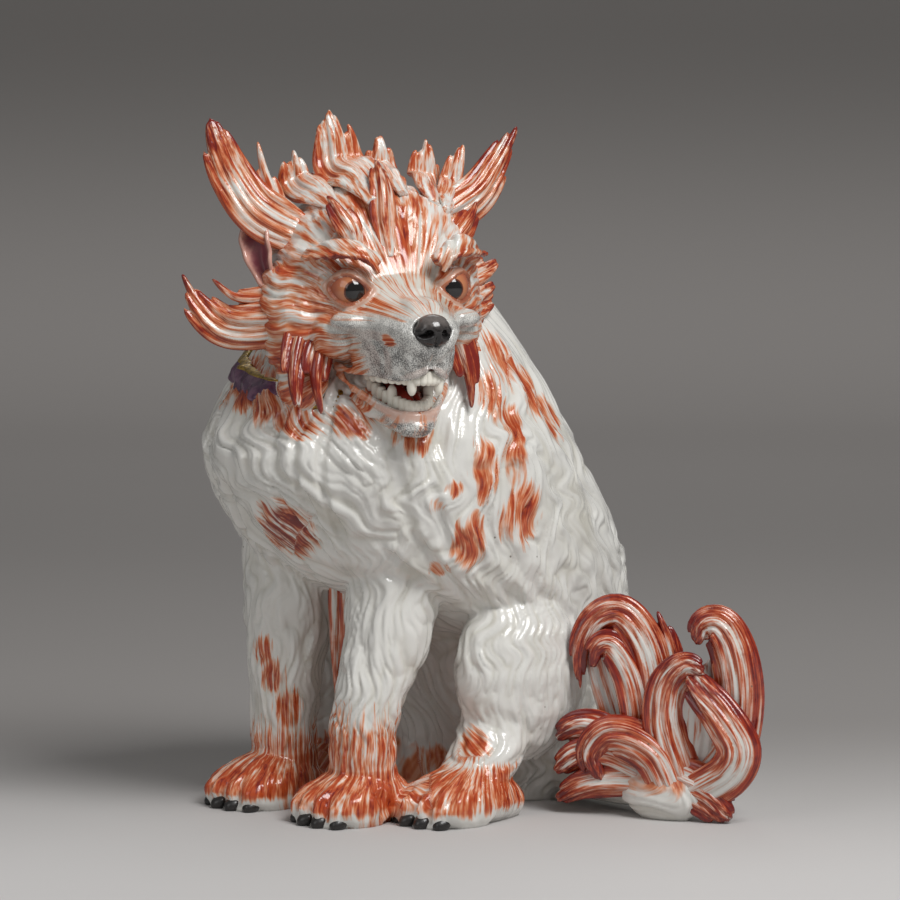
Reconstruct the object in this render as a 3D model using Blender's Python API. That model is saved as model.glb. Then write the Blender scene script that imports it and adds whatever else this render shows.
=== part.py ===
"""Seated porcelain dog, built from the moulded and hand-formed pieces it is luted together from.

Frame: +Z up, the body faces -Y and the dog's left is +X. The pieces are laid out from a point on
the ground midway between the forelegs and a little behind them; the finished figure is then set
with the origin at the bottom centre of its box. All sizes are real sizes in metres.
"""
import math
from collections import namedtuple

import bmesh
import bpy
from mathutils import Matrix, Vector

MM = 0.001

# Joints and walls
SLIP_GAP = 0.3 * MM
BODY_WALL = 10 * MM
GROUND_SINK = 4 * MM
ROOT_SINK = 9 * MM
WELD = 0.01 * MM

# Body, as the largest reach of each side
BODY_TOP = 342 * MM
BODY_HALF_WIDTH = 106 * MM
NECK_HALF_WIDTH = 80 * MM
CHEST_REACH = 124 * MM
BACK_REACH = 148 * MM
SEAT_SET_BACK = 98 * MM
BODY_HOLLOW_TOP = 285 * MM
# Wavy locks of the coat: distance between them, height, how far they lean and wave, and where they fade
COAT_LOCK_PITCH = 33 * MM
COAT_RELIEF = 4.5 * MM
COAT_LEAN = 0.6
COAT_LEAN_SIDE = math.radians(-50)
CHEST_SHARE = 0.65
COAT_WAVE = 0.9
COAT_WAVE_LENGTH = 80 * MM
COAT_TOP_SHARE = 0.80
COAT_FADE = 0.07
MEAN_LIFT = 0.64

# Forelegs and forepaws
FORELEG_SPREAD = 42 * MM
LEFT_SHOULDER_FORWARD = 22 * MM
RIGHT_SHOULDER_FORWARD = 36 * MM
LEFT_ANKLE_FORWARD = 46 * MM
RIGHT_ANKLE_FORWARD = 40 * MM
FORELEG_TOP = 205 * MM
FORELEG_RADIUS = 29 * MM
ANKLE_RADIUS = 21 * MM
FOREPAW_LENGTH = 78 * MM
FOREPAW_HALF_WIDTH = 29 * MM
FOREPAW_HEIGHT = 36 * MM
FOREPAW_FRONT = 95 * MM

# Haunches, shanks and hind paws
HAUNCH_SPREAD = 80 * MM
HAUNCH_BACK = 52 * MM
HAUNCH_HEIGHT = 88 * MM
HAUNCH_HALF_WIDTH = 31 * MM
HAUNCH_HALF_LENGTH = 50 * MM
HAUNCH_HALF_HEIGHT = 60 * MM
SHANK_RADIUS = 23 * MM
SHANK_FORWARD = 22 * MM
HIND_PAW_SPREAD = 86 * MM
HIND_PAW_LENGTH = 84 * MM
HIND_PAW_HALF_WIDTH = 29 * MM
HIND_PAW_HEIGHT = 36 * MM
HIND_PAW_FRONT = 50 * MM
RIGHT_HIND_SETBACK = 34 * MM
RIGHT_HIND_TUCK = 14 * MM
TOE_COUNT = 4

# Head: its centre over the neck, and its reach each way from that centre
HEAD_TURN = math.radians(70)
HEAD_ASIDE = 32 * MM
HEAD_FORWARD = 30 * MM
HEAD_ABOVE_BODY = -5 * MM
SKULL_REACH = 62 * MM
MUZZLE_REACH = 103 * MM
HEAD_HALF_WIDTH = 66 * MM
HEAD_RISE = 60 * MM
HEAD_DEPTH = 62 * MM
NOSE_DROP = 34 * MM

# Fur of the cheeks, as shares of the head's own sizes; it lies closer on the head's left
RUFF_FORWARD = 0.10
RUFF_SPREAD = {"left": 0.62, "right": -0.77}
RUFF_DROP = 0.36
RUFF_HALF_SIZES = (0.42, 0.52, 0.61)
RUFF_SIDES = 18

# Jaw and mouth
JAW_REACH = 84 * MM
JAW_HALF_WIDTH = 31 * MM
JAW_THICKNESS = 20 * MM
JAW_HINGE_DROP = 58 * MM
JAW_TIP_DROP = 88 * MM
TOOTH_COUNT = 11
TOOTH_HEIGHT = 5 * MM
CANINE_HEIGHT = 11 * MM
TOOTH_THICKNESS = 5 * MM
GUM_ROOT = 7 * MM
GUM_HEIGHT = 4 * MM
UPPER_ARCH_HALF_WIDTH = 20 * MM
LOWER_ARCH_HALF_WIDTH = 14.5 * MM
ARCH_SETBACK = 8 * MM
UPPER_ARCH_LENGTH = 50 * MM
LOWER_ARCH_LENGTH = 36 * MM
TONGUE_HALF_WIDTH = 10 * MM
TONGUE_THICKNESS = 9 * MM

# Features of the face
EYE_RADIUS = 13 * MM
EYE_FORWARD = 46 * MM
EYE_SPREAD = 32 * MM
EYE_RISE = -5 * MM
BROW_HALF_WIDTH = 7 * MM
BROW_HALF_DEPTH = 6 * MM
NOSE_HALF_WIDTH = 13 * MM
NOSE_HALF_HEIGHT = 9 * MM
NOSE_HALF_DEPTH = 9 * MM
NOSE_LIFT = 6 * MM
EAR_HALF_WIDTH = 13 * MM
EAR_HALF_DEPTH = 7 * MM

# Collar round the neck
COLLAR_DROP = 56 * MM
COLLAR_WIDTH = 20 * MM
COLLAR_THICKNESS = 4 * MM
COLLAR_TILT = 18 * MM
COLLAR_START = math.radians(165)
COLLAR_END = math.radians(305)
COLLAR_RINGS = 15

# Lock that hangs from the chest between the forelegs
BELLY_LOCK_FORWARD = 31 * MM
BELLY_LOCK_HANG = 70 * MM
BELLY_LOCK_HALF_WIDTH = 9 * MM

# Locks of the head: the reach that their paths are shares of, and the thickest lock
HEAD_LOCK_REACH = 100 * MM
HEAD_LOCK_HALF_WIDTH = 15 * MM
HEAD_LOCK_HALF_DEPTH = 9 * MM

# Tail, which leaves the body low on its left side
TAIL_OUT = 72 * MM
TAIL_BACK = 104 * MM
TAIL_HEIGHT = 20 * MM
TAIL_STEM_RADIUS = 18 * MM
TAIL_REACH = 100 * MM
TAIL_LOCK_HALF_WIDTH = 15 * MM
TAIL_LOCK_HALF_DEPTH = 9 * MM

# Fineness of the lofted forms
BODY_SIDES = 96
BODY_RINGS = 32
HOLLOW_SIDES = 24
HOLLOW_RINGS = 18
HEAD_SIDES = 20
HEAD_RINGS = 18
LIMB_SIDES = 14
LIMB_RINGS = 8
BALL_SIDES = 12
LOCK_SIDES = 7
TOOTH_SIDES = 6
RINGS_PER_TOOTH = 3

UP = Vector((0, 0, 1))
FORWARD = Vector((0, -1, 0))
LEFT = Vector((1, 0, 0))

Ring = namedtuple("Ring", "centre across rise right left up down")
Lock = namedtuple("Lock", "name root path wide deep")


def finish(name, colour, roughness):
    """One glazed or painted finish as a Principled material."""
    material = bpy.data.materials.new(name)
    material.use_nodes = True
    shader = material.node_tree.nodes["Principled BSDF"]
    shader.inputs["Base Color"].default_value = (*colour, 1)
    shader.inputs["Roughness"].default_value = roughness
    return material


def clear_scene():
    """Removes every object that the start-up file brings."""
    for item in list(bpy.data.objects):
        bpy.data.objects.remove(item, do_unlink=True)


def spline(keys, count):
    """Values on a smooth curve through the keys, evenly spaced from first to last."""
    last = len(keys) - 1
    values = []
    for step in range(count):
        place = step * last / (count - 1)
        span = min(int(place), last - 1)
        t = place - span
        before = keys[max(span - 1, 0)]
        start = keys[span]
        end = keys[span + 1]
        after = keys[min(span + 2, last)]
        values.append([
            0.5 * (2 * b + (c - a) * t + (2 * a - 5 * b + 4 * c - d) * t**2
                   + (3 * b - a - 3 * c + d) * t**3)
            for a, b, c, d in zip(before, start, end, after)])
    return values


def ring_points(ring, sides):
    """Points of an egg-shaped ring with its own reach to each of four sides."""
    points = []
    for step in range(sides):
        angle = 2 * math.pi * step / sides
        across = math.cos(angle)
        rise = math.sin(angle)
        wide = ring.right if across > 0 else ring.left
        tall = ring.up if rise > 0 else ring.down
        points.append(ring.centre + ring.across * across * wide + ring.rise * rise * tall)
    return points


def loft(name, rings, sides, material, relief=None):
    """A closed solid lofted through egg-shaped rings of unlike size, with a relief raised on it if there is one."""
    form = bmesh.new()
    loops = []
    for ring in rings:
        loop = []
        for step, point in enumerate(ring_points(ring, sides)):
            if relief:
                outward = (point - ring.centre).normalized()
                point = point + outward * relief(2 * math.pi * step / sides, ring.centre.z)
            loop.append(form.verts.new(point))
        loops.append(loop)
    for first, second in zip(loops, loops[1:]):
        for step in range(sides):
            after = (step + 1) % sides
            form.faces.new((first[step], first[after], second[after], second[step]))
    form.faces.new(loops[0])
    form.faces.new(loops[-1])
    turn_outward(form)
    return mesh_object(name, form, material)


def mesh_object(name, form, material):
    """Turns a bmesh into a named object of the assembly, with every face split the same way for good."""
    bmesh.ops.triangulate(form, faces=form.faces)
    mesh = bpy.data.meshes.new(name)
    form.to_mesh(mesh)
    form.free()
    mesh.materials.append(material)
    for face in mesh.polygons:
        face.use_smooth = True
    item = bpy.data.objects.new(name, mesh)
    assembly.objects.link(item)
    return item


def bake(item):
    """Replaces an object's mesh with the result of its modifiers, without the offcuts."""
    bpy.context.view_layer.update()
    graph = bpy.context.evaluated_depsgraph_get()
    mesh = bpy.data.meshes.new_from_object(item.evaluated_get(graph))
    item.modifiers.clear()
    old = item.data
    item.data = mesh
    bpy.data.meshes.remove(old)
    mesh.name = item.name
    form = bmesh.new()
    form.from_mesh(mesh)
    bmesh.ops.remove_doubles(form, verts=form.verts, dist=WELD)
    drop_offcuts(form)
    bmesh.ops.triangulate(form, faces=form.faces)
    turn_outward(form)
    form.to_mesh(mesh)
    form.free()


def turn_outward(form):
    """Points every face of a closed form outwards."""
    bmesh.ops.recalc_face_normals(form, faces=form.faces)
    if form.calc_volume(signed=True) < 0:
        bmesh.ops.reverse_faces(form, faces=form.faces)


def drop_offcuts(form):
    """Keeps the largest connected body of a cut piece."""
    waiting = set(form.verts)
    bodies = []
    while waiting:
        body = set()
        edge = [waiting.pop()]
        while edge:
            vert = edge.pop()
            body.add(vert)
            for link in vert.link_edges:
                other = link.other_vert(vert)
                if other in waiting:
                    waiting.remove(other)
                    edge.append(other)
        bodies.append(body)
    bodies.sort(key=len)
    for body in bodies[:-1]:
        bmesh.ops.delete(form, geom=list(body), context="VERTS")


def sound(mesh):
    """Whether a mesh is a closed solid with no loose or doubled faces."""
    form = bmesh.new()
    form.from_mesh(mesh)
    closed = len(form.faces) > 0 and all(edge.is_manifold for edge in form.edges)
    form.free()
    return closed


def combine(item, other, operation):
    """Joins or cuts one object with another and bakes the result."""
    before = item.data.copy()
    for solver in ("EXACT", "MANIFOLD"):
        item.data = before.copy()
        change = item.modifiers.new("cut", "BOOLEAN")
        change.operation = operation
        change.solver = solver
        change.object = other
        bake(item)
        if sound(item.data):
            break
    bpy.data.meshes.remove(before)


def unite(item, others):
    """Fuses helper forms into a piece, then removes them."""
    for other in others:
        combine(item, other, "UNION")
        bpy.data.objects.remove(other, do_unlink=True)


def grown_cutter(name, distance):
    """A cutter: the whole form of a piece before it was cut, larger by the given distance all round."""
    form = bmesh.new()
    form.from_mesh(whole_forms[name])
    form.normal_update()
    moves = [(vert, vert.normal * distance * vert.calc_shell_factor()) for vert in form.verts]
    for vert, move in moves:
        vert.co += move
    mesh = bpy.data.meshes.new(name + "_cutter")
    form.to_mesh(mesh)
    form.free()
    cutter = bpy.data.objects.new(mesh.name, mesh)
    cutter.display_type = "WIRE"
    cutter.hide_render = True
    cutters.objects.link(cutter)
    return cutter


def reach(mesh):
    """Lowest and highest corner of a mesh."""
    points = [vert.co for vert in mesh.vertices]
    low = [min(point[axis] for point in points) for axis in range(3)]
    high = [max(point[axis] for point in points) for axis in range(3)]
    return low, high


def near(mesh, other):
    """Whether the boxes of two meshes meet."""
    low, high = reach(mesh)
    other_low, other_high = reach(other)
    return all(low[axis] < other_high[axis] + SLIP_GAP and other_low[axis] < high[axis] + SLIP_GAP
               for axis in range(3))


def lute(item):
    """Seats a piece on every piece already in place, leaving the slip joint between them."""
    whole = item.data.copy()
    for other in placed:
        if near(item.data, whole_forms[other.name]):
            cutter = grown_cutter(other.name, SLIP_GAP)
            combine(item, cutter, "DIFFERENCE")
            bpy.data.objects.remove(cutter, do_unlink=True)
    placed.append(item)
    whole_forms[item.name] = whole


def level_foot(item):
    """Trims a piece flat at the ground, as it is rubbed level before firing."""
    form = bmesh.new()
    form.from_mesh(item.data)
    cut = bmesh.ops.bisect_plane(
        form, geom=list(form.verts) + list(form.edges) + list(form.faces), dist=WELD,
        plane_co=(0, 0, 0), plane_no=(0, 0, -1), clear_outer=True)
    rim = [part for part in cut["geom_cut"] if isinstance(part, bmesh.types.BMEdge)]
    bmesh.ops.triangle_fill(form, edges=rim, use_beauty=True)
    turn_outward(form)
    form.to_mesh(item.data)
    form.free()


def body_ring(height, back, width, front_reach, back_reach, inset):
    """One level ring of the body, drawn in by the inset."""
    half = width - inset
    return Ring(Vector((0, back, height)), LEFT, -FORWARD, half, half,
                back_reach * BACK_REACH - inset, front_reach * CHEST_REACH - inset)


# Height and ring centre as shares of the body's height and the seat's set-back, half width as shares of
# the body's and of the neck's, then front and back as shares of their reach
BODY_PROFILE = (
    (0.00, 1.00, 0.66, 0.00, 0.49, 0.55),
    (0.10, 1.00, 0.78, 0.00, 0.52, 0.64),
    (0.23, 0.90, 0.85, 0.00, 0.49, 0.73),
    (0.34, 0.69, 0.90, 0.00, 0.48, 0.85),
    (0.44, 0.39, 0.97, 0.00, 0.78, 1.00),
    (0.54, 0.23, 1.00, 0.00, 0.92, 0.98),
    (0.66, 0.11, 1.00, 0.00, 1.00, 0.86),
    (0.76, 0.05, 0.89, 0.00, 0.82, 0.77),
    (0.85, 0.03, 0.00, 1.00, 0.60, 0.64),
    (0.93, 0.01, 0.00, 0.77, 0.45, 0.50),
    (0.98, -0.02, 0.00, 0.50, 0.31, 0.33),
    (1.00, -0.04, 0.00, 0.19, 0.11, 0.11),
)


def body_rings(inset, bottom, top, count):
    """Rings of the body between two heights."""
    rings = []
    for share, back, width, neck, front_reach, back_reach in spline(BODY_PROFILE, count):
        height = share * BODY_TOP
        half = width * BODY_HALF_WIDTH + neck * NECK_HALF_WIDTH
        if bottom <= height <= top:
            rings.append(body_ring(height, back * SEAT_SET_BACK, half, front_reach, back_reach, inset))
    return rings


def coat_relief(angle, height):
    """How far the wavy locks of the coat stand out from the body, at an angle from its left side and a height."""
    locks = round(2 * math.pi * BODY_HALF_WIDTH / COAT_LOCK_PITCH)
    share = height / BODY_TOP
    chest = max(0, math.cos(angle - COAT_LEAN_SIDE))
    lean = COAT_LEAN * chest * max(-1, min((share - CHEST_SHARE) / (1 - CHEST_SHARE), 1))
    wave = COAT_WAVE * math.sin(2 * math.pi * height / COAT_WAVE_LENGTH + 2 * angle)
    lift = abs(math.sin((locks * (angle + lean) + wave) / 2)) - MEAN_LIFT
    fade = max(0, min(1, share / COAT_FADE, (COAT_TOP_SHARE - share) / COAT_FADE))
    return COAT_RELIEF * lift * fade


def build_body():
    """The outer form of the body with its locks, solid until every other piece has been seated on it."""
    lute(loft("body_shell", body_rings(0, 0, BODY_TOP, BODY_RINGS), BODY_SIDES, white, coat_relief))


def hollow_body():
    """Takes the same form, smaller by the wall, out of the body through its open underside."""
    inner = body_rings(BODY_WALL, 0, BODY_HOLLOW_TOP, HOLLOW_RINGS)
    mouth = inner[0]
    inner.insert(0, mouth._replace(centre=mouth.centre - UP * BODY_WALL))
    hollow = loft("body_hollow", inner, HOLLOW_SIDES, white)
    combine(placed[0], hollow, "DIFFERENCE")
    bpy.data.objects.remove(hollow, do_unlink=True)


def limb(name, keys, material):
    """A limb lofted along its length: each key is a centre and two half sizes."""
    rings = []
    for x, y, z, half_width, half_length in spline(keys, LIMB_RINGS):
        rings.append(Ring(Vector((x, y, z)), LEFT, -FORWARD, half_width, half_width,
                          half_length, half_length))
    return loft(name, rings, LIMB_SIDES, material)


def paw(name, spread, front, length, half_width, height):
    """A paw with a row of rounded toes, level underneath."""
    heel = -front + length
    toe = half_width * 2 / TOE_COUNT
    keys = (
        (heel, 0.55, 0.55),
        (heel - 0.25 * length, 0.86, 1.00),
        (heel - 0.55 * length, 1.00, 0.92),
        (heel - 0.80 * length, 0.95, 0.66),
        (heel - 0.92 * length, 0.70, 0.42),
    )
    rings = []
    for back, width, tall in spline(keys, LIMB_RINGS):
        centre = Vector((spread, back, height * 0.3))
        half = width * half_width
        rings.append(Ring(centre, LEFT, UP, half, half, height * (tall - 0.3),
                          height * 0.3 + GROUND_SINK))
    foot = loft(name, rings, LIMB_SIDES, red)
    toes = []
    for step in range(TOE_COUNT):
        aside = (step - (TOE_COUNT - 1) / 2)
        tuck = 0.06 * length * aside**2
        ball = bmesh.new()
        bmesh.ops.create_uvsphere(ball, u_segments=8, v_segments=6, radius=1)
        bmesh.ops.scale(ball, verts=ball.verts, vec=(toe * 0.6, length * 0.27, height * 0.36))
        bmesh.ops.translate(ball, verts=ball.verts, vec=(
            spread + aside * toe, -front + length * 0.27 + tuck, height * 0.3))
        toes.append(mesh_object(name + "_toe", ball, red))
    unite(foot, toes)
    level_foot(foot)
    lute(foot)


def build_feet():
    """Four paws, then the legs that stand on them and run up into the body."""
    for side, sign in (("left", 1), ("right", -1)):
        paw("forepaw_" + side, sign * FORELEG_SPREAD, FOREPAW_FRONT, FOREPAW_LENGTH,
            FOREPAW_HALF_WIDTH, FOREPAW_HEIGHT)
        hind_front = HIND_PAW_FRONT if sign > 0 else HIND_PAW_FRONT - RIGHT_HIND_SETBACK
        hind_spread = HIND_PAW_SPREAD if sign > 0 else HIND_PAW_SPREAD - RIGHT_HIND_TUCK
        paw("hind_paw_" + side, sign * hind_spread, hind_front, HIND_PAW_LENGTH,
            HIND_PAW_HALF_WIDTH, HIND_PAW_HEIGHT)
        shoulder = LEFT_SHOULDER_FORWARD if sign > 0 else RIGHT_SHOULDER_FORWARD
        ankle = LEFT_ANKLE_FORWARD if sign > 0 else RIGHT_ANKLE_FORWARD
        aside = sign * FORELEG_SPREAD
        keys = (
            (aside, -shoulder, FORELEG_TOP, FORELEG_RADIUS, FORELEG_RADIUS),
            (aside, -shoulder, 0.62 * FORELEG_TOP, FORELEG_RADIUS, FORELEG_RADIUS),
            (aside, -ankle, 0.3 * FORELEG_TOP, ANKLE_RADIUS, ANKLE_RADIUS),
            (aside, -ankle, 0.6 * FOREPAW_HEIGHT, ANKLE_RADIUS, ANKLE_RADIUS),
        )
        lute(limb("foreleg_" + side, keys, white))
        haunch_rings = []
        for share, size in spline(((-0.98, 0.2), (-0.72, 0.7), (0, 1.0), (0.72, 0.7), (0.98, 0.2)),
                                  LIMB_RINGS):
            centre = Vector((sign * HAUNCH_SPREAD, HAUNCH_BACK + share * HAUNCH_HALF_LENGTH,
                             HAUNCH_HEIGHT))
            haunch_rings.append(Ring(centre, LEFT, UP, size * HAUNCH_HALF_WIDTH,
                                     size * HAUNCH_HALF_WIDTH, size * HAUNCH_HALF_HEIGHT,
                                     size * HAUNCH_HALF_HEIGHT))
        lute(loft("haunch_" + side, haunch_rings, LIMB_SIDES, white))
        knee = HAUNCH_BACK - SHANK_FORWARD
        shank = (
            (sign * HAUNCH_SPREAD, knee, HAUNCH_HEIGHT + 0.3 * HAUNCH_HALF_HEIGHT,
             0.4 * SHANK_RADIUS, 0.4 * SHANK_RADIUS),
            (sign * HAUNCH_SPREAD, knee, 0.6 * HAUNCH_HEIGHT, SHANK_RADIUS, 1.1 * SHANK_RADIUS),
            (sign * hind_spread, -hind_front + 0.62 * HIND_PAW_LENGTH, 0.6 * HIND_PAW_HEIGHT,
             SHANK_RADIUS, SHANK_RADIUS),
        )
        lute(limb("shank_" + side, shank, white))


def head_point(forward, aside, rise):
    """A point in the head's own frame: ahead, to its left and up from the head centre."""
    ahead = Vector((math.sin(HEAD_TURN), -math.cos(HEAD_TURN), 0))
    centre = Vector((HEAD_ASIDE, -HEAD_FORWARD, BODY_TOP + HEAD_ABOVE_BODY))
    return centre + ahead * forward + UP.cross(ahead) * aside + UP * rise


def head_axis(forward, aside, rise):
    """A direction in the head's own frame."""
    return head_point(forward, aside, rise) - head_point(0, 0, 0)


# Place along the head as a share of its reach, drop of the centre, half width, rise and depth
HEAD_PROFILE = (
    (-1.00, 0.00, 0.33, 0.40, 0.39),
    (-0.81, 0.00, 0.70, 0.70, 0.74),
    (-0.40, 0.00, 0.92, 0.93, 0.97),
    (0.05, 0.06, 1.00, 1.02, 1.00),
    (0.26, 0.18, 0.92, 0.90, 0.84),
    (0.41, 0.41, 0.76, 0.63, 0.68),
    (0.52, 0.65, 0.58, 0.40, 0.52),
    (0.67, 0.82, 0.45, 0.33, 0.40),
    (0.85, 0.91, 0.36, 0.28, 0.31),
    (0.96, 0.97, 0.27, 0.22, 0.24),
    (1.00, 1.00, 0.14, 0.12, 0.13),
)


def build_head():
    """Skull, upper muzzle and the fur of the cheeks in one moulded form."""
    rings = []
    for share, drop, width, rise, depth in spline(HEAD_PROFILE, HEAD_RINGS):
        forward = share * (MUZZLE_REACH if share > 0 else SKULL_REACH)
        half = width * HEAD_HALF_WIDTH
        rings.append(Ring(head_point(forward, 0, -drop * NOSE_DROP), head_axis(0, 1, 0), UP,
                          half, half, rise * HEAD_RISE, depth * HEAD_DEPTH))
    head = loft("head", rings, HEAD_SIDES, white)
    wide, long, tall = RUFF_HALF_SIZES
    sizes = (wide * HEAD_HALF_WIDTH, long * SKULL_REACH, tall * HEAD_DEPTH)
    for side, spread in RUFF_SPREAD.items():
        centre = head_point(RUFF_FORWARD * SKULL_REACH, spread * HEAD_HALF_WIDTH, -RUFF_DROP * HEAD_DEPTH)
        unite(head, [ball("ruff_" + side, centre, sizes, HEAD_TURN, white, RUFF_SIDES)])
    lute(head)


def jaw_drop(share):
    """How far the middle of the jaw lies below the head centre, at a share of its reach."""
    return JAW_HINGE_DROP + share * (JAW_TIP_DROP - JAW_HINGE_DROP)


def build_jaw():
    """The lower jaw, dropped open below the muzzle."""
    rings = []
    profile = ((0, 1.0, 0.8), (0.3, 1.0, 1.0), (0.55, 0.95, 1.0), (0.78, 0.8, 1.0), (0.95, 0.52, 0.8),
               (1.0, 0.25, 0.4))
    for share, width, thickness in spline(profile, LIMB_RINGS):
        half = width * JAW_HALF_WIDTH
        centre = head_point(share * JAW_REACH, 0, -jaw_drop(share))
        rings.append(Ring(centre, head_axis(0, 1, 0), UP, half, half,
                          0.4 * thickness * JAW_THICKNESS, 0.6 * thickness * JAW_THICKNESS))
    lute(loft("lower_jaw", rings, LIMB_SIDES, white))


def ball(name, centre, half_sizes, turn, material, sides=BALL_SIDES):
    """A ball or egg form, turned with the head."""
    form = bmesh.new()
    bmesh.ops.create_uvsphere(form, u_segments=sides, v_segments=2 * sides // 3, radius=1)
    bmesh.ops.scale(form, verts=form.verts, vec=half_sizes)
    bmesh.ops.rotate(form, verts=form.verts, cent=(0, 0, 0), matrix=Matrix.Rotation(turn, 3, "Z"))
    bmesh.ops.translate(form, verts=form.verts, vec=centre)
    return mesh_object(name, form, material)


def build_eyes_and_nose():
    """Eyes and nose, which the head is then pressed round."""
    for side, sign in (("left", 1), ("right", -1)):
        centre = head_point(EYE_FORWARD, sign * EYE_SPREAD, EYE_RISE)
        lute(ball("eye_" + side, centre, (EYE_RADIUS, EYE_RADIUS, EYE_RADIUS), HEAD_TURN, amber))
    centre = head_point(MUZZLE_REACH - 0.3 * NOSE_HALF_DEPTH, 0, NOSE_LIFT - NOSE_DROP)
    sizes = (NOSE_HALF_WIDTH, NOSE_HALF_DEPTH, NOSE_HALF_HEIGHT)
    lute(ball("nose", centre, sizes, HEAD_TURN, black))


def tooth_row(name, half_width, length, sign):
    """A gum arch with a row of rounded teeth, hanging for sign -1 and standing for sign +1."""
    tip = MUZZLE_REACH if sign < 0 else JAW_REACH
    back = tip - ARCH_SETBACK - length
    steps = TOOTH_COUNT * RINGS_PER_TOOTH
    rings = []
    for step in range(steps + 1):
        share = step / steps
        angle = math.pi * (share - 0.5)
        forward = back + length * math.cos(angle)
        tooth = abs(math.sin(math.pi * TOOTH_COUNT * share)) ** 0.7
        number = min(int(TOOTH_COUNT * share), TOOTH_COUNT - 1)
        canine = abs(number - (TOOTH_COUNT - 1) / 2) == 2
        shrink = 0.45 + 0.55 * math.cos(angle)
        crown = GUM_HEIGHT + shrink * tooth * (CANINE_HEIGHT if canine else TOOTH_HEIGHT)
        if sign < 0:
            level = -NOSE_DROP - 0.26 * HEAD_DEPTH
        else:
            level = 0.25 * JAW_THICKNESS - jaw_drop(forward / JAW_REACH)
        centre = head_point(forward, half_width * math.sin(angle), level)
        outward = head_axis(math.cos(angle) * half_width, math.sin(angle) * length, 0).normalized()
        half = TOOTH_THICKNESS * (0.35 + 0.15 * tooth)
        above = crown if sign > 0 else GUM_ROOT
        below = GUM_ROOT if sign > 0 else crown
        rings.append(Ring(centre, outward, UP, half, half, above, below))
    lute(loft(name, rings, TOOTH_SIDES, ivory))


def build_mouth():
    """Tongue and both rows of teeth."""
    rings = []
    for share, width in spline(((0.1, 0.8), (0.4, 1.0), (0.7, 0.9), (0.86, 0.5), (0.9, 0.2)), LIMB_RINGS):
        drop = jaw_drop(share) - 0.5 * JAW_THICKNESS
        half = width * TONGUE_HALF_WIDTH
        rings.append(Ring(head_point(share * JAW_REACH, 0, -drop), head_axis(0, 1, 0), UP, half, half,
                          0.4 * TONGUE_THICKNESS, 0.6 * TONGUE_THICKNESS))
    lute(loft("tongue", rings, LIMB_SIDES, dark_red))
    tooth_row("upper_teeth", UPPER_ARCH_HALF_WIDTH, UPPER_ARCH_LENGTH, -1)
    tooth_row("lower_teeth", LOWER_ARCH_HALF_WIDTH, LOWER_ARCH_LENGTH, 1)


def lock_form(name, points, half_width, half_depth, facing, material):
    """A pointed lock of hair along a curved path, flattened towards the side it faces."""
    last = 2 * len(points) - 1
    path = [Vector(place) for place in spline([tuple(point) for point in points], last + 1)]
    rings = []
    for step, centre in enumerate(path):
        share = step / last
        along = path[min(step + 1, last)] - path[max(step - 1, 0)]
        across = along.cross(facing).normalized()
        rise = across.cross(along).normalized()
        size = 0.08 + 0.92 * (1 - share) ** 0.7 * (0.8 + 0.8 * share)
        rings.append(Ring(centre, across, rise, size * half_width, size * half_width,
                          size * half_depth, size * half_depth))
    return loft(name, rings, LOCK_SIDES, material)


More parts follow.
